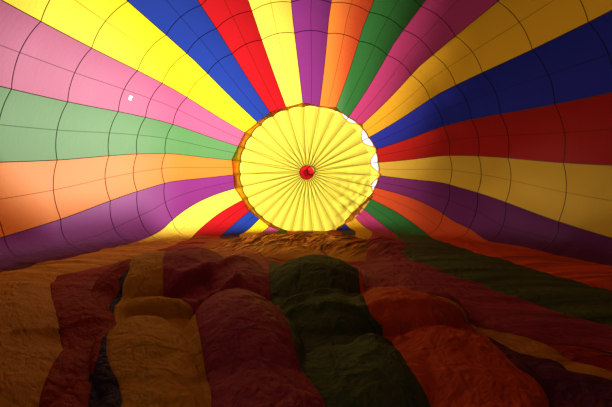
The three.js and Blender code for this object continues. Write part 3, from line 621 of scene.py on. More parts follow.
def cut_width(d):
    """Width that a gore was cut to, before it was slack."""
    even = section(d)[4] / GORES
    full = radius_at(d) * math.radians((SEAM_ANGLE_LEFT + SEAM_ANGLE_RIGHT) / 2)
    rim, mouth = rise(d, RIM, CUT_RISE), rise(d, *CUT_FALL)
    return even + (full - even) * rim * (1 - mouth)


CUT_AREA = float(np.trapz(cut_width(FINE_D), FINE_LENGTH))
CUT_WIDEST = float(cut_width(FINE_D).max())


def hidden_fold(g, d, seam_points):
    """Columns of the slack that is folded away under the ground cloth at the gore's lower seam."""
    x, y, z = seam_points.T
    _, _, _, half, _ = section(d)
    width = np.abs(seam_place(g, d) - seam_place(g - 1, d))
    inside = smooth((half - FOLD_INSIDE - np.abs(x)) / FOLD_EASES)
    inside = inside * rise(d, *FOLDS_FROM) * rise(-d, -FOLDS_TO[0], FOLDS_TO[1])
    reach = np.clip((cut_width(d) - width) / 2, 0.0, FOLD_REACH) * inside + FOLD_GAP
    level = FOLD_LEVEL + FOLD_LAYER * FOLD_ORDER[g]
    drop = np.clip(z - level - FOLD_GAP, FOLD_GAP / 2, None) * inside + FOLD_GAP / 2
    columns = []
    for across, down in FOLD_COLUMNS:
        low = np.maximum(z - drop * min(down, 1.0) - (FOLD_UNDER if down > 1 else 0.0), LOWEST - FOLD_SINKS)
        columns.append(np.stack([x - reach * across, y, low], axis=-1))
    columns.append(seam_points - np.array([0.0, 0.0, FOLD_GAP / 2]))
    return np.stack(columns, axis=1)


# Meshes


def grid_object(name, points, uvs, closed=False):
    """A sheet of quads through rows and columns of points, with a UV map in metres."""
    rows, columns = points.shape[:2]
    index = np.arange(rows * columns).reshape(rows, columns)
    if closed:
        index = np.concatenate([index, index[:, :1]], axis=1)
    quads = np.stack([index[:-1, :-1], index[1:, :-1], index[1:, 1:], index[:-1, 1:]], axis=-1)
    return quad_object(name, points.reshape(-1, 3), quads.reshape(-1, 4), uvs.reshape(-1, 2))


def quad_object(name, points, quads, uvs):
    mesh = bpy.data.meshes.new(name)
    mesh.from_pydata(points.tolist(), [], quads.tolist())
    layer = mesh.uv_layers.new(name="cloth")
    layer.data.foreach_set("uv", uvs[quads.ravel()].astype(np.float32).ravel())
    mesh.polygons.foreach_set("use_smooth", np.ones(len(mesh.polygons), bool))
    mesh.update()
    obj = bpy.data.objects.new(name, mesh)
    bpy.context.scene.collection.objects.link(obj)
    return obj


def unit(v):
    return v / np.maximum(np.linalg.norm(v, axis=-1, keepdims=True), 1e-9)


def strap_faces(centres, across, out, width, thickness, ring=False):
    """Corner points, quads and UVs of a flat strap through centres."""
    n = len(centres)
    half, lift = width / 2, thickness / 2
    corners = [
        centres - across * half - out * lift,
        centres - across * half + out * lift,
        centres + across * half + out * lift,
        centres + across * half - out * lift,
    ]
    points = np.stack(corners, axis=1).reshape(-1, 3)
    along = np.concatenate([[0.0], np.cumsum(np.linalg.norm(np.diff(centres, axis=0), axis=1))])
    uv = np.zeros((n, 4, 2))
    uv[:, :, 0] = np.array([-half, -half, half, half])
    uv[:, :, 1] = along[:, None]
    index = np.arange(n * 4).reshape(n, 4)
    after = np.roll(index, -1, axis=0) if ring else index[1:]
    before = index if ring else index[:-1]
    quads = []
    for k in range(4):
        after_k = (k + 1) % 4
        quads.append(np.stack([before[:, k], before[:, after_k], after[:, after_k], after[:, k]], axis=1))
    if not ring:
        quads.append(index[:1, ::-1])
        quads.append(index[-1:])
    return points, np.concatenate(quads), uv.reshape(-1, 2)


def joined(parts):
    points, quads, uvs, start = [], [], [], 0
    for p, q, uv in parts:
        points.append(p)
        quads.append(q + start)
        uvs.append(uv)
        start += len(p)
    return np.concatenate(points), np.concatenate(quads), np.concatenate(uvs)


# Shader maths


class Wire:
    """A number on its way through the nodes, which takes part in Python sums."""

    def __init__(self, paint, socket):
        self.paint, self.socket = paint, socket

    def sum(self, operation, *values):
        return self.paint.node("ShaderNodeMath", {"operation": operation}, dict(enumerate(values)))

    def __add__(self, other):
        return self.sum("ADD", self, other)

    __radd__ = __add__

    def __sub__(self, other):
        return self.sum("SUBTRACT", self, other)

    def __rsub__(self, other):
        return self.sum("SUBTRACT", other, self)

    def __mul__(self, other):
        return self.sum("MULTIPLY", self, other)

    __rmul__ = __mul__

    def size(self):
        return self.sum("ABSOLUTE", self)

    def least(self, other):
        return self.sum("MINIMUM", self, other)

    def most(self, other):
        return self.sum("MAXIMUM", self, other)

    def over(self, other):
        return self.sum("GREATER_THAN", self, other)

    def wave(self):
        return self.sum("SINE", self)

    def fade(self, near, far):
        """1 at near or before it, and 0 from far on."""
        values = {"Value": self, "From Min": near, "From Max": far, "To Min": 1.0, "To Max": 0.0}
        return self.paint.node("ShaderNodeMapRange", {"interpolation_type": "SMOOTHSTEP"}, values)


class Paint:
    """A material and the nodes that make it."""

    def __init__(self, name):
        self.material = bpy.data.materials.new(name)
        self.material.use_nodes = True
        self.tree = self.material.node_tree
        self.tree.nodes.clear()

    def node(self, kind, settings=None, values=None, out=0):
        """A node with its settings and the values or links of its sockets, and the wire that leaves it."""
        made = self.tree.nodes.new(kind)
        for key, value in (settings or {}).items():
            setattr(made, key, value)
        for key, value in (values or {}).items():
            if isinstance(value, Wire):
                self.tree.links.new(value.socket, made.inputs[key])
            else:
                made.inputs[key].default_value = value
        self.last = made
        return Wire(self, made.outputs[out]) if made.outputs else None

    def mix(self, share, first, second):
        """A mix of two colours."""
        return self.node("ShaderNodeMix", {"data_type": "RGBA"}, {0: share, 6: first, 7: second}, out=2)

    def blend(self, share, first, second):
        """A mix of two shaders."""
        return self.node("ShaderNodeMixShader", {}, {"Fac": share, 1: first, 2: second})

    def surface(self, values):
        return self.node("ShaderNodeBsdfPrincipled", {}, values)

    def glow(self, colour, normal=None):
        """Light that passes through cloth."""
        values = {"Color": (*colour, 1.0)}
        if normal:
            values["Normal"] = normal
        return self.node("ShaderNodeBsdfTranslucent", {}, values)

    def bump(self, height, strength, distance=0.001):
        values = {"Height": height, "Strength": strength, "Distance": distance}
        return self.node("ShaderNodeBump", {}, values)

    def vector(self, operation, first, second):
        return self.node("ShaderNodeVectorMath", {"operation": operation}, {0: first, 1: second})

    def attribute(self, name, out):
        return self.node("ShaderNodeAttribute", {"attribute_name": name}, {}, out)

    def object_place(self):
        """Place in the frame: x to the right, y towards the crown, z up."""
        return self.node("ShaderNodeTexCoord", {}, {}, out=3)

    def flat_place(self, x, y):
        return self.node("ShaderNodeCombineXYZ", {}, {"X": x, "Y": y})

    def tint(self, colour, strength):
        """A colour made lighter or darker by a number."""
        return self.node("ShaderNodeVectorMath", {"operation": "SCALE"}, {0: colour, "Scale": strength})

    def parts(self, vector):
        """The three numbers of a vector."""
        self.node("ShaderNodeSeparateXYZ", {}, {0: vector})
        return [Wire(self, output) for output in self.last.outputs]

    def cloth_place(self):
        """Place on the cloth in metres: across from a gore's middle, and along from the opening."""
        place = self.node("ShaderNodeUVMap", {"uv_map": "cloth"})
        across, along, _ = self.parts(place)
        return place, across, along

    def noise(self, place, scale, detail=2.0, stretch=(1.0, 1.0, 1.0)):
        spread = self.vector("MULTIPLY", place, stretch)
        return self.node("ShaderNodeTexNoise", {}, {"Vector": spread, "Scale": scale, "Detail": detail})

    def creases(self, place, scale, stretch):
        """Soft hollows between sharp folds, from 0 to 1."""
        spread = self.vector("MULTIPLY", place, stretch)
        level = self.node("ShaderNodeTexNoise", {}, {"Vector": spread, "Scale": scale, **FOLD_NOISE})
        return 1.0 - (level * 2.0 - 1.0).size() * CREASE_WIDENS

    def finish(self, shader):
        self.node("ShaderNodeOutputMaterial", {}, {"Surface": shader})
        return self.material


# Seams in the cloth's colour: cores and edges as shares of a ring seam's width, or in metres on the valve,
# whose lines also hold painted shadows of the load tapes beyond it
SEAM_CORE, MIDDLE_SEAM, MIDDLE_SEAM_SHARE = 0.4, (0.2, 0.7), 0.6
VALVE_SEAM, VALVE_SEAM_SHARE, VALVE_SEAM_FADES = (0.006, 0.03), 0.85, 0.11
SEAM_HIDES, SEAM_DARKENS, SEAM_BLOCKS = 0.7, 0.85, 0.93
# How much light slack cloth and the painted shadow on the left wall's foot keep back, and how bright the
# valve is within its edge
SLACK_BLOCKS, PAINTED_SHADOW_BLOCKS = 0.75, 0.8
VALVE_BRIGHTER, VALVE_EDGE_LESS, VALVE_EDGE_WIDE = 1.9, 0.9, 0.1
# Painted shade on the valve's panels beside their seams: how much darker, and how wide
PLEAT_PAINTED_SHADE, PLEAT_SHADE_WIDE = 0.12, 0.2
# How bright panels are, and how much one differs from the next and within itself
PANEL_SHADE, PANEL_VARIES, CLOUD_VARIES = 0.95, 0.035, 0.06
# Strands and ripples painted in the colour as light and shade: how close they lie across and along, how
# sharp, and how bright
STRANDS_ACROSS, STRANDS_ALONG, STRAND_SHARP, STRAND_BRIGHT = 12.0, 1.1, 0.3, (2.2, 0.6)
RIPPLES_ACROSS, RIPPLES_ALONG, RIPPLE_BRIGHT = 0.4, 3.2, (2.4, 1.2)
# Small relief in the bump, in metres: places in a metre, stretch and height of the folds of slack cloth
LOOSE_FOLDS = (
    (2.6, (1.0, 0.75, 1.0), 0.026),
    (6.0, (1.25, 0.75, 1.0), 0.018),
    (15.0, (1.2, 0.8, 1.0), 0.007),
)
FOLD_NOISE = {"Detail": 2.0, "Roughness": 0.45, "Distortion": 0.6}
# Noises: features in a metre, detail and stretch
CLOUDS, CREASES, PUCKERS = (0.8, 3.0), (14.0, 4.0), (5.0, 3.0, (0.35, 1.6, 1.0))
LOOSE_CREASE, TAUT_CREASE, TAUT_PUCKER, TAUT_SEAM = 0.004, 0.003, 0.006, 0.003
LESS_IN_STRANDS, STRAND_RELIEF, RIPPLE_RELIEF = 0.6, 0.05, 0.05
WEAVE, WEAVE_RELIEF, CREASE_WIDENS = 700.0, 0.0001, 2.2
CLOTH_ROUGHNESS, CREASE_ROUGHNESS, CLOTH_SHINE, CLOTH_BUMP = 0.55, 0.16, 0.12, 0.9
PATCH_EDGE, PATCH_SHARE = 0.01, 0.9
# Webbing: its ribs and stitches, how far from its middle the stitches run as a share of its width, their
# thread, and the least and the change of its shade and roughness
RIBS, STITCHES, STITCH_PLACE, STITCH_EDGE = (1600.0, 1200.0), 900.0, 0.36, (0.0012, 0.0025)
STITCH_LEVEL, STITCH_SHARE, THREAD = -0.2, 0.6, (0.32, 0.27, 0.2, 1.0)
WEAR, WEBBING_SHADE, WEBBING_ROUGHNESS = (3.0, 4.0), (0.75, 0.5), (0.7, 0.2)
WEBBING_BUMP, WEBBING_SHEEN = 0.4, 0.2
# Satin metal and the floor: noises as above, then the least and the change of shade and roughness
SCRATCHES, GRIME, MOTTLE = (60.0, 4.0, (1.0, 14.0, 1.0)), (9.0, 3.0), (0.6, 3.0)
METAL_SHADE, METAL_ROUGHNESS, SCRATCH_BUMP = (0.82, 0.3), (0.22, 0.25), 0.15
FLOOR_SHADE, FLOOR_ROUGHNESS = (0.95, 0.1), 0.9


def rim_band(paint, place):
    """Share of the orange band round the opening, which is wide at the left, where the valve lies over it."""
    scaled = paint.vector("MULTIPLY", paint.vector("SUBTRACT", place, OPENING_MIDDLE), OPENING_SCALE)
    radius = paint.node("ShaderNodeVectorMath", {"operation": "LENGTH"}, {0: scaled}, out=1)
    x, y, _ = paint.parts(place)
    edge = x.fade(*BAND_ENDS) * BAND_WIDTH + 1.0
    return radius.fade(edge - BAND_EDGE, edge) * y.over(BAND_FROM) * BAND_SHARE


def seam_and_panel(across, along, slack, width, ringed):
    """How far a place belongs to a seam, and the number of the half panel that it lies in."""
    ring = (along - RING_SEAMS[0]).size()
    panel = along.over(RING_SEAMS[0])
    for length in RING_SEAMS[1:]:
        ring = ring.least((along - length).size())
        panel = panel + along.over(length)
    if ringed:
        dark = ring.fade(width * SEAM_CORE, width)
        faint = across.size().fade(*(width * share for share in MIDDLE_SEAM))
        seam = dark.most(faint * MIDDLE_SEAM_SHARE * (1.0 - slack))
    else:
        # On the valve the dark lines are partly seams and partly painted shadows of the load tapes
        seam = across.size().fade(*VALVE_SEAM) * (VALVE_SEAM_SHARE - along * VALVE_SEAM_FADES)
    return seam * (1.0 - slack * SEAM_HIDES), panel * 2.0 + across.over(0.0)


def strand_and_ripple(paint, x, y):
    """Where the heap's strands run, how far a place belongs to one, and the ripples' noise."""
    fan = (y - FAN_FROM) * (STRAND_LEAN + x.most(0.0) * STRAND_FAN)
    place = paint.flat_place((x - fan) * STRANDS_ACROSS, y * STRANDS_ALONG)
    strand = (paint.noise(place, 1.0, 3.0) * 2.0 - 1.0).size().fade(STRAND_SHARP, 0.0)
    ripple = paint.noise(paint.flat_place(x * RIPPLES_ACROSS, y * RIPPLES_ALONG), 1.0, 3.0)
    return place, strand, ripple


def panel_cloth(name, colour, sizes, cloth, shaded=None, patch=None, layered=1.0):
    """Coated ripstop cloth: its colour, the seams that join its panels, its weave and small wrinkles.

    shaded is the tint of the light on the shaded side; cloth without it is the valve's, whose panels have
    no ring seams. patch is the place of a small blank patch of white cloth, its colour and half its size.
    """
    paint = Paint(name)
    place, across, along = paint.cloth_place()
    object_place = paint.object_place()
    x, y, _ = paint.parts(object_place)
    slack = paint.attribute("slack", out=2)
    # folds holds the shares of strands, of ripples and of the painted shadow on the left wall's foot
    strands, ripples, painted_shadow = paint.parts(paint.attribute("folds", out=1))
    seam, half_panel = seam_and_panel(across, along, slack, sizes.ring_seam, shaded)
    strand_place, strand, ripple = strand_and_ripple(paint, x, y)

    tone = paint.node("ShaderNodeTexWhiteNoise", {"noise_dimensions": "1D"}, {"W": half_panel + 0.5})
    shade = PANEL_SHADE + tone * PANEL_VARIES + paint.noise(place, *CLOUDS) * CLOUD_VARIES
    wear_and_painted_light = shade * (1.0 - seam * SEAM_DARKENS)
    # Painted light and shade along the heap's strands and the ripples, following their relief
    wear_and_painted_light = wear_and_painted_light * (1.0 + strands * (strand * STRAND_BRIGHT[0] - STRAND_BRIGHT[1]))
    wear_and_painted_light = wear_and_painted_light * (1.0 + ripples * (ripple * RIPPLE_BRIGHT[0] - RIPPLE_BRIGHT[1]))

    thread = (across * WEAVE).wave().most((along * WEAVE).wave())
    crease, pucker = paint.noise(place, *CREASES), paint.noise(place, *PUCKERS)
    taut = pucker * TAUT_PUCKER + crease * TAUT_CREASE + seam * TAUT_SEAM
    folds = [paint.creases(place, scale, stretch) * height for scale, stretch, height in LOOSE_FOLDS]
    loose = sum(folds[1:], folds[0]) + crease * LOOSE_CREASE
    loose = loose * (1.0 - strands * LESS_IN_STRANDS)
    loose = loose + strands * strand * STRAND_RELIEF + ripples * ripple * RIPPLE_RELIEF
    normal = paint.bump(taut + slack * loose + thread * WEAVE_RELIEF, CLOTH_BUMP, 1.0)

    deep = [cloth.dull * c**cloth.deepen for c in colour]
    bright = cloth.layered * layered
    # The tint paints the warm light that falls on the ground's cloth, and a small brown colour is added to it
    heaped = [c * bright * warm_light + added_colour for c, warm_light, added_colour in zip(deep, LAYER_LIGHT_TINT, LAYER_ADDED)]
    # Slack cloth and the painted shadow on the left wall's foot take the layered cloth's colour
    base = paint.mix(slack.most(painted_shadow), (*deep, 1.0), (*heaped, 1.0))
    # Painted golden light over the heap's strands, mostly in place of the gores' own colours
    base = paint.mix(strands * x.fade(*GOLDEN_LIGHT_ENDS) * GOLDEN_LIGHT_SHARE, base, (*GOLDEN_LIGHT, 1.0))
    # Darker red-brown strands in places of the heap
    red_brown_strands = strands * paint.noise(strand_place, 0.5, 1.0).fade(*RED_BROWN_PLACES) * RED_BROWN_SHARE
    surface = paint.surface({
        "Base Color": paint.tint(paint.mix(red_brown_strands, base, (*RED_BROWN, 1.0)), wear_and_painted_light),
        "Roughness": CLOTH_ROUGHNESS + crease * CREASE_ROUGHNESS,
        "Normal": normal,
        "Specular IOR Level": CLOTH_SHINE,
    })

    light = paint.glow(colour, normal)
    passed = cloth.through * shade * (1.0 - seam * SEAM_BLOCKS)
    # The painted shadow lets less light through the left wall's foot
    passed = passed * (1.0 - slack * SLACK_BLOCKS) * (1.0 - painted_shadow * PAINTED_SHADOW_BLOCKS)
    if shaded:
        beyond = paint.glow([c * tint for c, tint in zip(colour, shaded)], normal)
        light = paint.blend(1.0 - x.fade(*SHADED_WALL), light, beyond)
        sunny = x.fade(*SUNNY_WALL) * SUNNY_VEIL * (1.0 - painted_shadow)
        light = paint.blend(sunny, light, paint.glow((1.0, 1.0, 1.0), normal))
        light = paint.blend(rim_band(paint, object_place), light, paint.glow(BAND, normal))
    else:
        inner = along.fade(VALVE_RADIUS - VALVE_EDGE_WIDE, VALVE_RADIUS)
        passed = passed * (VALVE_BRIGHTER - inner * VALVE_EDGE_LESS)
        # Painted shade on the valve's panels, darker beside their seams
        passed = passed * (1.0 - across.size().fade(0.0, PLEAT_SHADE_WIDE) * PLEAT_PAINTED_SHADE)
    shader = paint.blend(passed, surface, light)
    if patch:
        (at, up), white, (half_width, half_length) = patch
        inside = (across - at).size().fade(half_width, half_width + PATCH_EDGE)
        inside = inside * (along - up).size().fade(half_length, half_length + PATCH_EDGE)
        shader = paint.blend(inside * PATCH_SHARE, shader, paint.glow(white, normal))
    return paint.finish(shader)


def webbing(name, colour, width, through=0.0):
    """Woven webbing with a row of stitches along each edge."""
    paint = Paint(name)
    place, across, along = paint.cloth_place()
    rib = (across * RIBS[0]).wave() * (along * RIBS[1]).wave()
    row = (across.size() - width * STITCH_PLACE).size().fade(*STITCH_EDGE)
    stitch = row * (along * STITCHES).wave().over(STITCH_LEVEL)
    wear_and_painted_light = paint.noise(place, *WEAR)
    base = paint.tint(tuple(colour), WEBBING_SHADE[0] + wear_and_painted_light * WEBBING_SHADE[1])
    shader = paint.surface({
        "Base Color": paint.mix(stitch * STITCH_SHARE, base, THREAD),
        "Roughness": WEBBING_ROUGHNESS[0] + wear_and_painted_light * WEBBING_ROUGHNESS[1],
        "Normal": paint.bump(rib * 0.5 + stitch, WEBBING_BUMP),
        "Sheen Weight": WEBBING_SHEEN,
    })
    if through:
        shader = paint.blend(through, shader, paint.glow(colour))
    return paint.finish(shader)


def satin_metal(name, colour):
    """Brushed aluminium with fine scratches and a little grime."""
    paint = Paint(name)
    place = paint.object_place()
    scratch, grime = paint.noise(place, *SCRATCHES), paint.noise(place, *GRIME)
    return paint.finish(paint.surface({
        "Base Color": paint.tint(tuple(colour), METAL_SHADE[0] + grime * METAL_SHADE[1]),
        "Metallic": 1.0,
        "Roughness": METAL_ROUGHNESS[0] + scratch * METAL_ROUGHNESS[1],
        "Normal": paint.bump(scratch, SCRATCH_BUMP),
    }))


def floor_paint(name, colour):
    """Plain pale floor with a faint mottle."""
    paint = Paint(name)
    mottle = paint.noise(paint.object_place(), *MOTTLE)
    base = paint.tint(tuple(colour), FLOOR_SHADE[0] + mottle * FLOOR_SHADE[1])
    return paint.finish(paint.surface({"Base Color": base, "Roughness": FLOOR_ROUGHNESS}))


# Settings


def a_colour(name, description, default):
    return bpy.props.FloatVectorProperty(name=name, description=description, subtype="COLOR", default=default)


def a_length(name, description, default):
    return bpy.props.FloatProperty(name=name, description=description, unit="LENGTH", default=default)


def a_number(name, description, default, subtype="NONE"):
    return bpy.props.FloatProperty(name=name, description=description, subtype=subtype, default=default)


class EnvelopeSizes(bpy.types.PropertyGroup):
    tape_width: a_length("Load tape width", "Width of the webbing between gores", 0.022)
    tape_thickness: a_length("Load tape thickness", "Thickness of the webbing", 0.003)
    ring_seam: a_length("Ring seam width", "Width of the seams that join a gore's panels", 0.025)
    hoop_width: a_length("Hoop width", "Width of the webbing round the mouth and the opening", 0.06)
    patch: a_length("White patch", "Size of the blank patch in a pink gore", 0.155)
    scallop: a_length("Valve scallop", "How far the valve's edge is pulled in between its lines", 0.52)
    valve_pleat: a_length("Valve pleat", "How far the valve's panels puff out", 0.085)


class ClothColours(bpy.types.PropertyGroup):
    yellow: a_colour("Yellow", "Yellow gores", (0.92, 0.72, 0.03))
    lemon: a_colour("Lemon", "Paler yellow gores", (0.9, 0.66, 0.1))
    valve: a_colour("Valve", "Yellow of the parachute valve", (0.7, 0.6, 0.085))
    purple: a_colour("Purple", "Purple gores", (0.24, 0.04, 0.2))
    orange: a_colour("Orange", "Orange gores", (0.72, 0.23, 0.045))
    green: a_colour("Green", "Green gores", (0.13, 0.28, 0.11))
    pink: a_colour("Pink", "Pink gores", (0.5, 0.13, 0.25))
    blue: a_colour("Blue", "Blue gores", (0.026, 0.056, 0.3))
    red: a_colour("Red", "Red gores and patch", (0.46, 0.015, 0.02))
    through: a_number("Light let through", "Share of light that the cloth lets through", 0.42, "FACTOR")
    dull: a_number("Reflected share", "How bright the cloth's own surface is beside its glow", 0.7, "FACTOR")
    layered: a_number("Layered cloth", "How much brighter cloth is that lies in layers on the ground", 1.3)
    deepen: a_number("Deeper surface", "How much deeper in tone the surface is than its glow", 1.6)


class FittingColours(bpy.types.PropertyGroup):
    webbing: a_colour("Webbing", "Load tapes and hoops", (0.035, 0.022, 0.015))
    hem: a_colour("Hem", "Tape round the valve's edge", (0.85, 0.62, 0.14))
    metal: a_colour("Metal", "Crown ring", (0.72, 0.73, 0.75))
    cord: a_colour("Pull ring", "Covered ring at the valve's middle", (0.1, 0.01, 0.01))
    label: a_colour("White patch", "Blank patch in a gore", (0.97, 0.97, 0.97))


class StudioSettings(bpy.types.PropertyGroup):
    key: a_number("Key light", "Strength of the soft light from beyond the crown", 12.5)
    key_spread: a_number("Key softness", "Width of the key light", math.radians(14), "ANGLE")
    fill: a_number("Fill light", "Brightness of the pale surroundings", 0.32)
    floor: a_colour("Floor", "Plain pale floor", (0.5, 0.49, 0.47))


def settings():
    scene = bpy.context.scene
    return scene.envelope_sizes, scene.envelope_cloth, scene.envelope_fittings, scene.envelope_studio


def cloth_material(kind, seams=True):
    """Cloth of one kind, made once. The valve's cloth has no ring seams."""
    name = f"{kind}_cloth" if seams else f"{kind}_panel_cloth"
    found = bpy.data.materials.get(name)
    if found:
        return found
    sizes, cloth, _, _ = settings()
    shaded = SHADED_TINTS[kind] if seams else None
    return panel_cloth(name, getattr(cloth, kind), sizes, cloth, shaded, layered=LAYER_SHARE.get(kind, 1.0))


def patched_material(kind):
    """Cloth of the gore that has a small blank patch."""
    sizes, cloth, fittings, _ = settings()
    length_there = np.interp(PATCH_FROM_CROWN, FINE_D, FINE_LENGTH)
    place = (PATCH_FROM_MIDDLE, float(ring_length(length_there, PATCHED_GORE - 0.5)))
    patch = (place, fittings.label, (sizes.patch / 2, sizes.patch * PATCH_SHAPE))
    name = f"{kind}_cloth_with_white_patch"
    return panel_cloth(name, getattr(cloth, kind), sizes, cloth, SHADED_TINTS[kind], patch)


def put_on(obj, material, body, *nodes):
    """A piece's material, the body it rides on and the nodes that it stands for."""
    obj.data.materials.append(material)
    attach(obj, body)
    if nodes:
        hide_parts(*nodes)


def ring_length(length, seam):
    """Cloth length as the ring seams count it, at a seam or a place between two."""
    return length * (1.0 + np.interp(seam, *RING_STRETCH)) + np.interp(seam, *RING_SHIFT)


def store(mesh, name, kind, field, values):
    """Numbers at each point of a sheet, for its material to read."""
    mesh.attributes.new(name, kind, "POINT").data.foreach_set(field, values.astype(np.float32).ravel())


class ENVELOPE_OT_gores(bpy.types.Operator):
    """Sheets of cloth for the 32 gores, taut above and slack on the ground"""

    bl_idname = "envelope.gores"
    bl_label = "Gores"

    def execute(self, context):
        for g in range(1, GORES + 1):
            colour_name = GORE_COLOURS[(g - 1) % len(GORE_COLOURS)]
            node = f"gore_{g:02d}_{colour_name}"
            on_wall = g - 1 in WALL_SEAMS and g in WALL_SEAMS
            rows, columns = (WALL_ROWS, WALL_COLUMNS) if on_wall else (GROUND_ROWS, GROUND_COLUMNS)
            shares = np.linspace(0.0, 1.0, columns)
            points, slack, width = gore_shape(g, rows, shares)
            across = (shares[None, :] - 0.5) * np.abs(width)
            if g in FOLD_ORDER:
                points = np.concatenate([points, hidden_fold(g, rows, points[:, -1])], axis=1)
                extra = across[:, -1:] + np.array(FOLD_WIDTHS)
                across = np.concatenate([across, extra], axis=1)
                slack = np.concatenate([slack, np.ones(extra.shape)], axis=1)
            seam = g - 1 + np.append(shares, np.ones(across.shape[1] - columns))
            along = np.interp(rows, FINE_D, FINE_LENGTH)
            uvs = np.stack([across, ring_length(along[:, None], seam)], axis=-1)
            cloth = grid_object(f"gore_cloth_{g:02d}_{colour_name}", points, uvs)
            store(cloth.data, "slack", "FLOAT", "value", slack)
            # folds holds strands, ripples and the painted shadow on the left wall's foot
            store(cloth.data, "folds", "FLOAT_VECTOR", "vector", fold_shares(points, slack))
            kind = "lemon" if (g - PALER_YELLOW) % len(GORE_COLOURS) == 0 else colour_name
            material = patched_material(kind) if g == PATCHED_GORE else cloth_material(kind)
            put_on(cloth, material, "envelope", node)
        return {"FINISHED"}


def squared(centres, across):
    """Directions across and outwards of a strap, square to its run."""
    along = unit(np.gradient(centres, axis=0))
    across = unit(across - along * (across * along).sum(axis=1, keepdims=True))
    return across, np.cross(along, across)


def seam_frames(seam, rows):
    """Centres, directions across and directions outwards of a seam of the cloth."""
    points, slack, _ = gore_shape(seam + 1, rows, np.array([0.0]))
    centres = points[:, 0] - np.array([0.0, 0.0, TAPE_UNDER]) * slack
    place = seam_place(seam, rows)
    before, after = (cloth_point(place + way, rows, 0.0, 0.0)[0] for way in (-BESIDE_SEAM, BESIDE_SEAM))
    return centres, *squared(centres, unit(after - before))


def crown_run(seam):
    """The load tape's run over the opening, from the crown ring to the cloth."""
    r = np.linspace(RING_RADIUS - TAPE_OVER_RING, OPENING_RADIUS - TAPE_UNDER_RIM, CROWN_STEPS)
    angle, d = seam_angle(seam, RIM), depth_at(r)
    wide, low = wide_and_low(angle, (r - RING_RADIUS) / (OPENING_RADIUS - RING_RADIUS))
    x = axis_shift(d) + r * wide * math.sin(angle)
    z = np.maximum(axis_height(d) + r * low * math.cos(angle), 0.0) + TAPE_LIFT
    centres = np.stack([x, CROWN_Y - d, z], axis=1)
    across = np.broadcast_to([math.cos(angle), 0.0, -math.sin(angle)], centres.shape)
    return centres, *squared(centres, across)


def tape_loop(centre, across, along, out, width, thickness):
    """The flat end loop of a load tape, an eye between two legs."""
    def leg(a, b, wide):
        line = np.linspace(a, b, LEG_STEPS)
        ways = (np.tile(way, (LEG_STEPS, 1)) for way in (across, out))
        return strap_faces(line, *ways, wide, thickness)

    end = centre + along * LOOP_LENGTH
    parts = [leg(centre - along * LOOP_END, centre + along * LOOP_FOOT, width)]
    for side in (-1, 1):
        beside = centre + side * (across * ((width - LEG_WIDTH) / 2))
        parts.append(leg(beside + along * LOOP_LEGS[0], beside + along * LOOP_LEGS[1], LEG_WIDTH))
    parts.append(leg(end - along * LOOP_END, end, width))
    for points, _, _ in parts:
        points[:, 2] = np.maximum(points[:, 2], LOWEST)
    return parts


def hoop_frames(d, next_d):
    """Points round the cloth at d, with the directions towards next_d and outwards."""
    ring, beyond = [], []
    shares = np.linspace(0.0, 1.0, HOOP_STEPS, endpoint=False)
    for g in range(1, GORES + 1):
        points, _, _ = gore_shape(g, np.array([d, next_d]), shares)
        ring.append(points[0])
        beyond.append(points[1])
    ring, beyond = np.concatenate(ring), np.concatenate(beyond)
    towards = unit(beyond - ring)
    round_it = unit(np.roll(ring, -1, axis=0) - np.roll(ring, 1, axis=0))
    return ring, towards, unit(np.cross(towards, round_it))


class ENVELOPE_OT_load_tapes(bpy.types.Operator):
    """Webbing over the gores' seams, the hoop round the mouth and the end loops"""

    bl_idname = "envelope.load_tapes"
    bl_label = "Load tapes"

    def execute(self, context):
        sizes, _, fittings, _ = settings()
        width, thickness = sizes.tape_width, sizes.tape_thickness
        parts = []
        for seam in range(GORES):
            rows = WALL_ROWS if seam in WALL_SEAMS else GROUND_ROWS[::2]
            rows = np.append(rows, MOUTH) if rows[-1] < MOUTH - 1e-6 else rows
            start, run = crown_run(seam), seam_frames(seam, rows)
            centres, across, out = (np.concatenate(pair) for pair in zip(start, run))
            past = centres[-1] + unit(centres[-1] - centres[-2]) * TAPE_PAST_MOUTH
            centres = np.concatenate([centres, past[None]])
            across, out = (np.concatenate([way, way[-1:]]) for way in (across, out))
            lift = np.maximum(LOWEST - (centres[:, 2] - thickness / 2), 0.0) + TAPE_CLEAR
            centres = centres + np.array([0.0, 0.0, 1.0]) * lift[:, None] * (centres[:, 2:3] < LOW_TAPES)
            parts.append(strap_faces(centres, across, out, width, thickness))
            along = unit(centres[-1] - centres[-2])
            loop = centres[-1] + along * LOOP_GAP
            parts += tape_loop(loop, across[-1], along, out[-1], width, thickness)
        parts.append(self.hoop(sizes.hoop_width))
        tapes = quad_object("load_tape_webbing", *joined(parts))
        tapes.data.polygons.foreach_set("use_smooth", np.zeros(len(tapes.data.polygons), bool))
        put_on(tapes, webbing("tape_webbing", fittings.webbing, width), "envelope", "load_tapes")
        return {"FINISHED"}

    def hoop(self, width):
        ring, inwards, inside = hoop_frames(MOUTH, MOUTH - BEFORE_MOUTH)
        centres = ring - inwards * (width * HOOP_SHARE)
        centres[:, 2] = np.maximum(centres[:, 2], LOWEST + HOOP_LIFT)
        return strap_faces(centres, -inwards, -inside, width, HOOP_THICKNESS, ring=True)


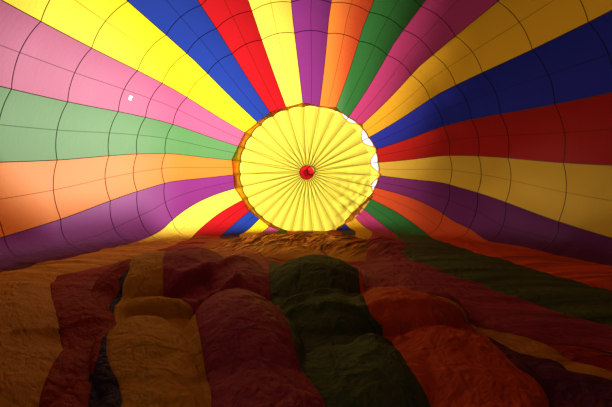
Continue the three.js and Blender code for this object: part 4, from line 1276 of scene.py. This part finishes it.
class ENVELOPE_OT_crown_rim(bpy.types.Operator):
    """Webbing sewn inside the cloth round the crown opening"""

    bl_idname = "envelope.crown_rim"
    bl_label = "Opening's rim tape"

    def execute(self, context):
        sizes, _, fittings, _ = settings()
        ring, inwards, out = hoop_frames(RIM, RIM + AFTER_RIM)
        centres = ring + inwards * (sizes.hoop_width / 2) - out * RIM_BEHIND
        faces = strap_faces(centres, inwards, out, sizes.hoop_width, FLAT_TAPE, ring=True)
        rim = quad_object("crown_rim_webbing", *faces)
        put_on(rim, webbing("rim_webbing", fittings.hem, sizes.hoop_width), "envelope", "crown_rim_tape")
        return {"FINISHED"}


class ENVELOPE_OT_crown_ring(bpy.types.Operator):
    """The flat metal ring that gathers the load tapes at the crown"""

    bl_idname = "envelope.crown_ring"
    bl_label = "Crown ring"

    def execute(self, context):
        _, _, fittings, _ = settings()
        bpy.ops.object.select_all(action="DESELECT")
        place = (OPENING_SHIFT, CROWN_Y, AXIS_AT_CROWN + RING_LIFT)
        bpy.ops.mesh.primitive_cylinder_add(
            vertices=ROUND_STEPS, radius=RING_RADIUS, depth=2 * RING_HALF, location=place,
            rotation=(math.pi / 2, 0.0, 0.0), end_fill_type="NGON",
        )
        ring = context.object
        ring.name = "crown_ring_metal"
        bpy.ops.object.transform_apply(location=True, rotation=True, scale=True)
        bpy.ops.object.mode_set(mode="EDIT")
        bpy.ops.mesh.select_mode(type="FACE")
        bpy.ops.mesh.select_all(action="DESELECT")
        bpy.ops.object.mode_set(mode="OBJECT")
        for face in ring.data.polygons:
            face.select = abs(face.normal.y) > FLAT_FACE
        bpy.ops.object.mode_set(mode="EDIT")
        bpy.ops.mesh.inset(thickness=RING_RADIUS - RING_INNER, depth=0.0)
        bpy.ops.mesh.bridge_edge_loops()
        bpy.ops.mesh.select_all(action="SELECT")
        bpy.ops.mesh.normals_make_consistent(inside=False)
        bpy.ops.object.mode_set(mode="OBJECT")
        bevel = ring.modifiers.new("rounded_edges", "BEVEL")
        bevel.width, bevel.segments, bevel.angle_limit = RING_BEVEL, BEVEL_STEPS, math.radians(BEVEL_ANGLE)
        bpy.ops.object.modifier_apply(modifier=bevel.name)
        bpy.ops.object.shade_smooth_by_angle(angle=math.radians(SMOOTH_ANGLE))
        put_on(ring, satin_metal("satin_aluminium", fittings.metal), "envelope", "crown_ring")
        return {"FINISHED"}


def valve_edge(angle, pair, scallop):
    """Point of the valve's edge, which overlaps the cloth at the left and is scalloped at the right."""
    degrees = np.degrees(angle)
    left = np.maximum(-np.sin(angle), 0.0)
    overlap = VALVE_OVERLAP + LEFT_OVERLAP * bell(degrees, *LEFT_LAPS)
    right = bell(degrees, *RIGHT_SCALLOPS) * rise(-degrees, -SCALLOPS_END[0], SCALLOPS_END[1])
    pulled = scallop * (right + LEFT_SCALLOPS * left) * np.sin(math.pi * pair) ** SCALLOP_ROUND
    reach = (OPENING_RADIUS + overlap - pulled) * pulled_in(angle)
    x = OPENING_MIDDLE[0] + reach * (1.0 + OPENING_WIDER) * np.sin(angle)
    return x, OPENING_MIDDLE[2] + reach * (1.0 - OPENING_LOWER) * np.cos(angle)


def valve_shape(x, z, pleat, share):
    """Point of the valve's cloth. share runs from 0 to 1 across a panel."""
    middle, _, height = OPENING_MIDDLE
    from_opening = np.hypot((x - middle) / (1.0 + OPENING_WIDER), (z - height) / (1.0 - OPENING_LOWER))
    reach = np.hypot(x - VALVE_MIDDLE[0], z - VALVE_MIDDLE[1]) / VALVE_RADIUS
    puff = pleat * np.sin(math.pi * share) ** PUFF_ROUND * np.clip(reach * PUFF_GROWS, 0.0, 1.0)
    y = CROWN_Y - depth_at(from_opening) - VALVE_BEHIND + np.minimum(puff, VALVE_PUFF) - VALVE_INSET
    lower_right = rise(x, *SAG_RIGHT_OF) * rise(height - z, *SAG_BELOW) * rise(reach, *SAG_PAST)
    y = y - SAG * lower_right * (SAG_EVEN + crumple(x, z, *VALVE_FOLDS))
    bottom = VALVE_LOWEST + (1.0 - np.minimum(reach, 1.0)) * VALVE_TURN_UP
    return np.stack([x, y, np.maximum(z, bottom)], axis=-1)


def valve_columns(steps):
    """Angles round the valve, with the share across each panel and across each pair of panels."""
    angles, shares, pairs = [], [], []
    for g in range(1, GORES + 1):
        a, b = seam_angle(g - 1, RIM), seam_angle(g, RIM)
        for k in range(steps):
            angles.append(float(a + (b - a) * k / steps))
            shares.append(k / steps)
            pairs.append(((g % 2) + k / steps) / 2)
    return np.array(angles), np.array(shares), np.array(pairs)


class ENVELOPE_OT_parachute(bpy.types.Operator):
    """The parachute valve: pleated panel, hem and middle patch"""

    bl_idname = "envelope.parachute"
    bl_label = "Parachute valve"

    def execute(self, context):
        sizes, _, fittings, _ = settings()
        angle, share, pair = valve_columns(VALVE_STEPS)
        edge_x, edge_z = valve_edge(angle, pair, sizes.scallop)
        reach = np.hypot(edge_x - VALVE_MIDDLE[0], edge_z - VALVE_MIDDLE[1])
        first = (PATCH_RADIUS - UNDER_PATCH) / reach
        t = first + (1.0 - first) * np.linspace(0.0, 1.0, VALVE_ROWS)[:, None]
        r = reach * t
        shares = np.broadcast_to(share, r.shape)

        def sheet(t, shares):
            x = VALVE_MIDDLE[0] + (edge_x - VALVE_MIDDLE[0]) * t
            z = VALVE_MIDDLE[1] + (edge_z - VALVE_MIDDLE[1]) * t
            return valve_shape(x, z, sizes.valve_pleat, shares)

        across = (np.abs(shares - 0.5) - 0.5) * r * 2 * math.pi / GORES
        uvs = np.stack([across, r], axis=-1)
        panel = grid_object("parachute_cloth", sheet(t, shares)[:, ::-1], uvs[:, ::-1], closed=True)
        put_on(panel, cloth_material("valve", seams=False), "parachute", "parachute_panel")
        hem_t = np.stack([np.ones_like(reach), 1.0 + VALVE_HEM / reach])
        self.hem(sheet(hem_t, np.broadcast_to(share, hem_t.shape)), fittings)
        self.patch()
        return {"FINISHED"}

    def hem(self, points, fittings):
        inner, outer = points[0], points[1]
        centres, across = (inner + outer) / 2, unit(outer - inner)
        round_it = unit(np.roll(centres, -1, axis=0) - np.roll(centres, 1, axis=0))
        out = unit(np.cross(round_it, across))
        faces = strap_faces(centres, across, out, VALVE_HEM, FLAT_TAPE, ring=True)
        hem = quad_object("parachute_hem_tape", *faces)
        put_on(hem, webbing("hem_tape", fittings.hem, VALVE_HEM, HEM_THROUGH), "parachute", "parachute_hem")

    def patch(self):
        angle, share, _ = valve_columns(PATCH_STEPS)
        r = np.linspace(PATCH_HOLE, PATCH_RADIUS, PATCH_ROWS)[:, None] + 0.0 * angle
        x, z = VALVE_MIDDLE[0] + r * np.sin(angle), VALVE_MIDDLE[1] + r * np.cos(angle)
        points = valve_shape(x, z, 0.0, np.broadcast_to(share, r.shape))
        points[..., 1] -= PATCH_BEHIND
        uvs = np.stack([points[..., 0], points[..., 2]], axis=-1)
        patch = grid_object("parachute_middle_patch", points[:, ::-1], uvs[:, ::-1], closed=True)
        put_on(patch, cloth_material("red", seams=False), "parachute", "parachute_patch")


class ENVELOPE_OT_pull_ring(bpy.types.Operator):
    """The covered ring at the middle of the valve"""

    bl_idname = "envelope.pull_ring"
    bl_label = "Pull ring"

    def execute(self, context):
        _, _, fittings, _ = settings()
        low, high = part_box("parachute_pull_ring")
        middle = [(a + b) / 2 for a, b in zip(low, high)]
        bpy.ops.object.select_all(action="DESELECT")
        bpy.ops.mesh.primitive_torus_add(
            location=(VALVE_MIDDLE[0], middle[1], VALVE_MIDDLE[1]), rotation=(math.pi / 2, 0.0, 0.0),
            major_radius=PULL_RING_RADIUS, minor_radius=PULL_RING_CORD,
            major_segments=ROUND_STEPS, minor_segments=CORD_STEPS,
        )
        ring = context.object
        ring.name = "parachute_pull_ring_cover"
        bpy.ops.object.transform_apply(location=True, rotation=True, scale=True)
        wrap = ring.modifiers.new("wrapping", "DISPLACE")
        texture = bpy.data.textures.new("wrapping", "WOOD")
        texture.wood_type, texture.noise_scale = "BANDS", WRAPPING[0]
        wrap.texture, wrap.strength, wrap.mid_level = texture, WRAPPING[1], 0.5
        bpy.ops.object.modifier_apply(modifier=wrap.name)
        bpy.ops.object.shade_smooth()
        ring.data.uv_layers.active.name = "cloth"
        cover = webbing("pull_ring_cover", fittings.cord, COVER_WIDTH)
        put_on(ring, cover, "parachute", "parachute_pull_ring")
        return {"FINISHED"}


class ENVELOPE_OT_stage(bpy.types.Operator):
    """The plain floor, the soft light and the camera in the mouth"""

    bl_idname = "envelope.stage"
    bl_label = "Studio"

    def execute(self, context):
        _, _, _, studio = settings()
        bpy.ops.object.select_all(action="DESELECT")
        bpy.ops.mesh.primitive_plane_add(size=FLOOR_SIZE, location=(0.0, 0.0, 0.0))
        floor = context.object
        floor.name = "studio_floor"
        floor.data.materials.append(floor_paint("pale_floor", studio.floor))

        light = bpy.data.lights.new("key_light", "SUN")
        light.energy, light.angle, light.color = studio.key, studio.key_spread, SUN_COLOUR
        key = bpy.data.objects.new("key_light", light)
        key.rotation_euler = Vector(SUN_FROM).to_track_quat("Z", "Y").to_euler()
        context.scene.collection.objects.link(key)

        world = bpy.data.worlds.new("pale_surroundings")
        world.use_nodes = True
        back = world.node_tree.nodes["Background"]
        back.inputs["Color"].default_value = SKY_COLOUR
        seen = world.node_tree.nodes.new("ShaderNodeLightPath").outputs["Is Camera Ray"]
        level = world.node_tree.nodes.new("ShaderNodeMapRange")
        level.inputs["To Min"].default_value = studio.fill
        world.node_tree.links.new(seen, level.inputs["Value"])
        world.node_tree.links.new(level.outputs[0], back.inputs["Strength"])
        context.scene.world = world

        lens = bpy.data.cameras.new("mouth_camera")
        lens.sensor_width = SENSOR_WIDTH
        lens.lens = SENSOR_WIDTH * PICTURE_FOCUS / PICTURE_WIDTH
        lens.clip_start, lens.clip_end = SIGHT_RANGE
        camera = bpy.data.objects.new("mouth_camera", lens)
        camera.location = (0.0, CROWN_Y - EYE_FROM_CROWN, EYE_HEIGHT)
        camera.rotation_euler = (math.pi / 2, 0.0, 0.0)
        context.scene.collection.objects.link(camera)
        context.scene.camera = camera
        context.scene.view_settings.view_transform = "Standard"
        context.scene.view_settings.look = "Medium High Contrast"
        return {"FINISHED"}


STEPS = (
    ENVELOPE_OT_stage,
    ENVELOPE_OT_gores,
    ENVELOPE_OT_load_tapes,
    ENVELOPE_OT_crown_rim,
    ENVELOPE_OT_crown_ring,
    ENVELOPE_OT_parachute,
    ENVELOPE_OT_pull_ring,
)
GROUPS = {
    "envelope_sizes": EnvelopeSizes,
    "envelope_cloth": ClothColours,
    "envelope_fittings": FittingColours,
    "envelope_studio": StudioSettings,
}


class ENVELOPE_PT_panel(bpy.types.Panel):
    """Settings and steps of the envelope"""

    bl_idname = "ENVELOPE_PT_panel"
    bl_label = "Balloon envelope"
    bl_space_type = "VIEW_3D"
    bl_region_type = "UI"
    bl_category = "Envelope"

    def draw(self, context):
        for name, group in GROUPS.items():
            box = self.layout.box()
            for field in group.__annotations__:
                box.prop(getattr(context.scene, name), field)
        for step in STEPS:
            self.layout.operator(step.bl_idname)


def register():
    for group in GROUPS.values():
        bpy.utils.register_class(group)
    for name, group in GROUPS.items():
        setattr(bpy.types.Scene, name, bpy.props.PointerProperty(type=group))
    for step in STEPS:
        bpy.utils.register_class(step)
    bpy.utils.register_class(ENVELOPE_PT_panel)


def unregister():
    bpy.utils.unregister_class(ENVELOPE_PT_panel)
    for step in reversed(STEPS):
        bpy.utils.unregister_class(step)
    for name, group in GROUPS.items():
        delattr(bpy.types.Scene, name)
        bpy.utils.unregister_class(group)


def main():
    register()
    bpy.ops.envelope.stage()
    bpy.ops.envelope.gores()
    bpy.ops.envelope.load_tapes()
    bpy.ops.envelope.crown_rim()
    bpy.ops.envelope.crown_ring()
    bpy.ops.envelope.parachute()
    bpy.ops.envelope.pull_ring()


if __name__ == "__main__":
    main()
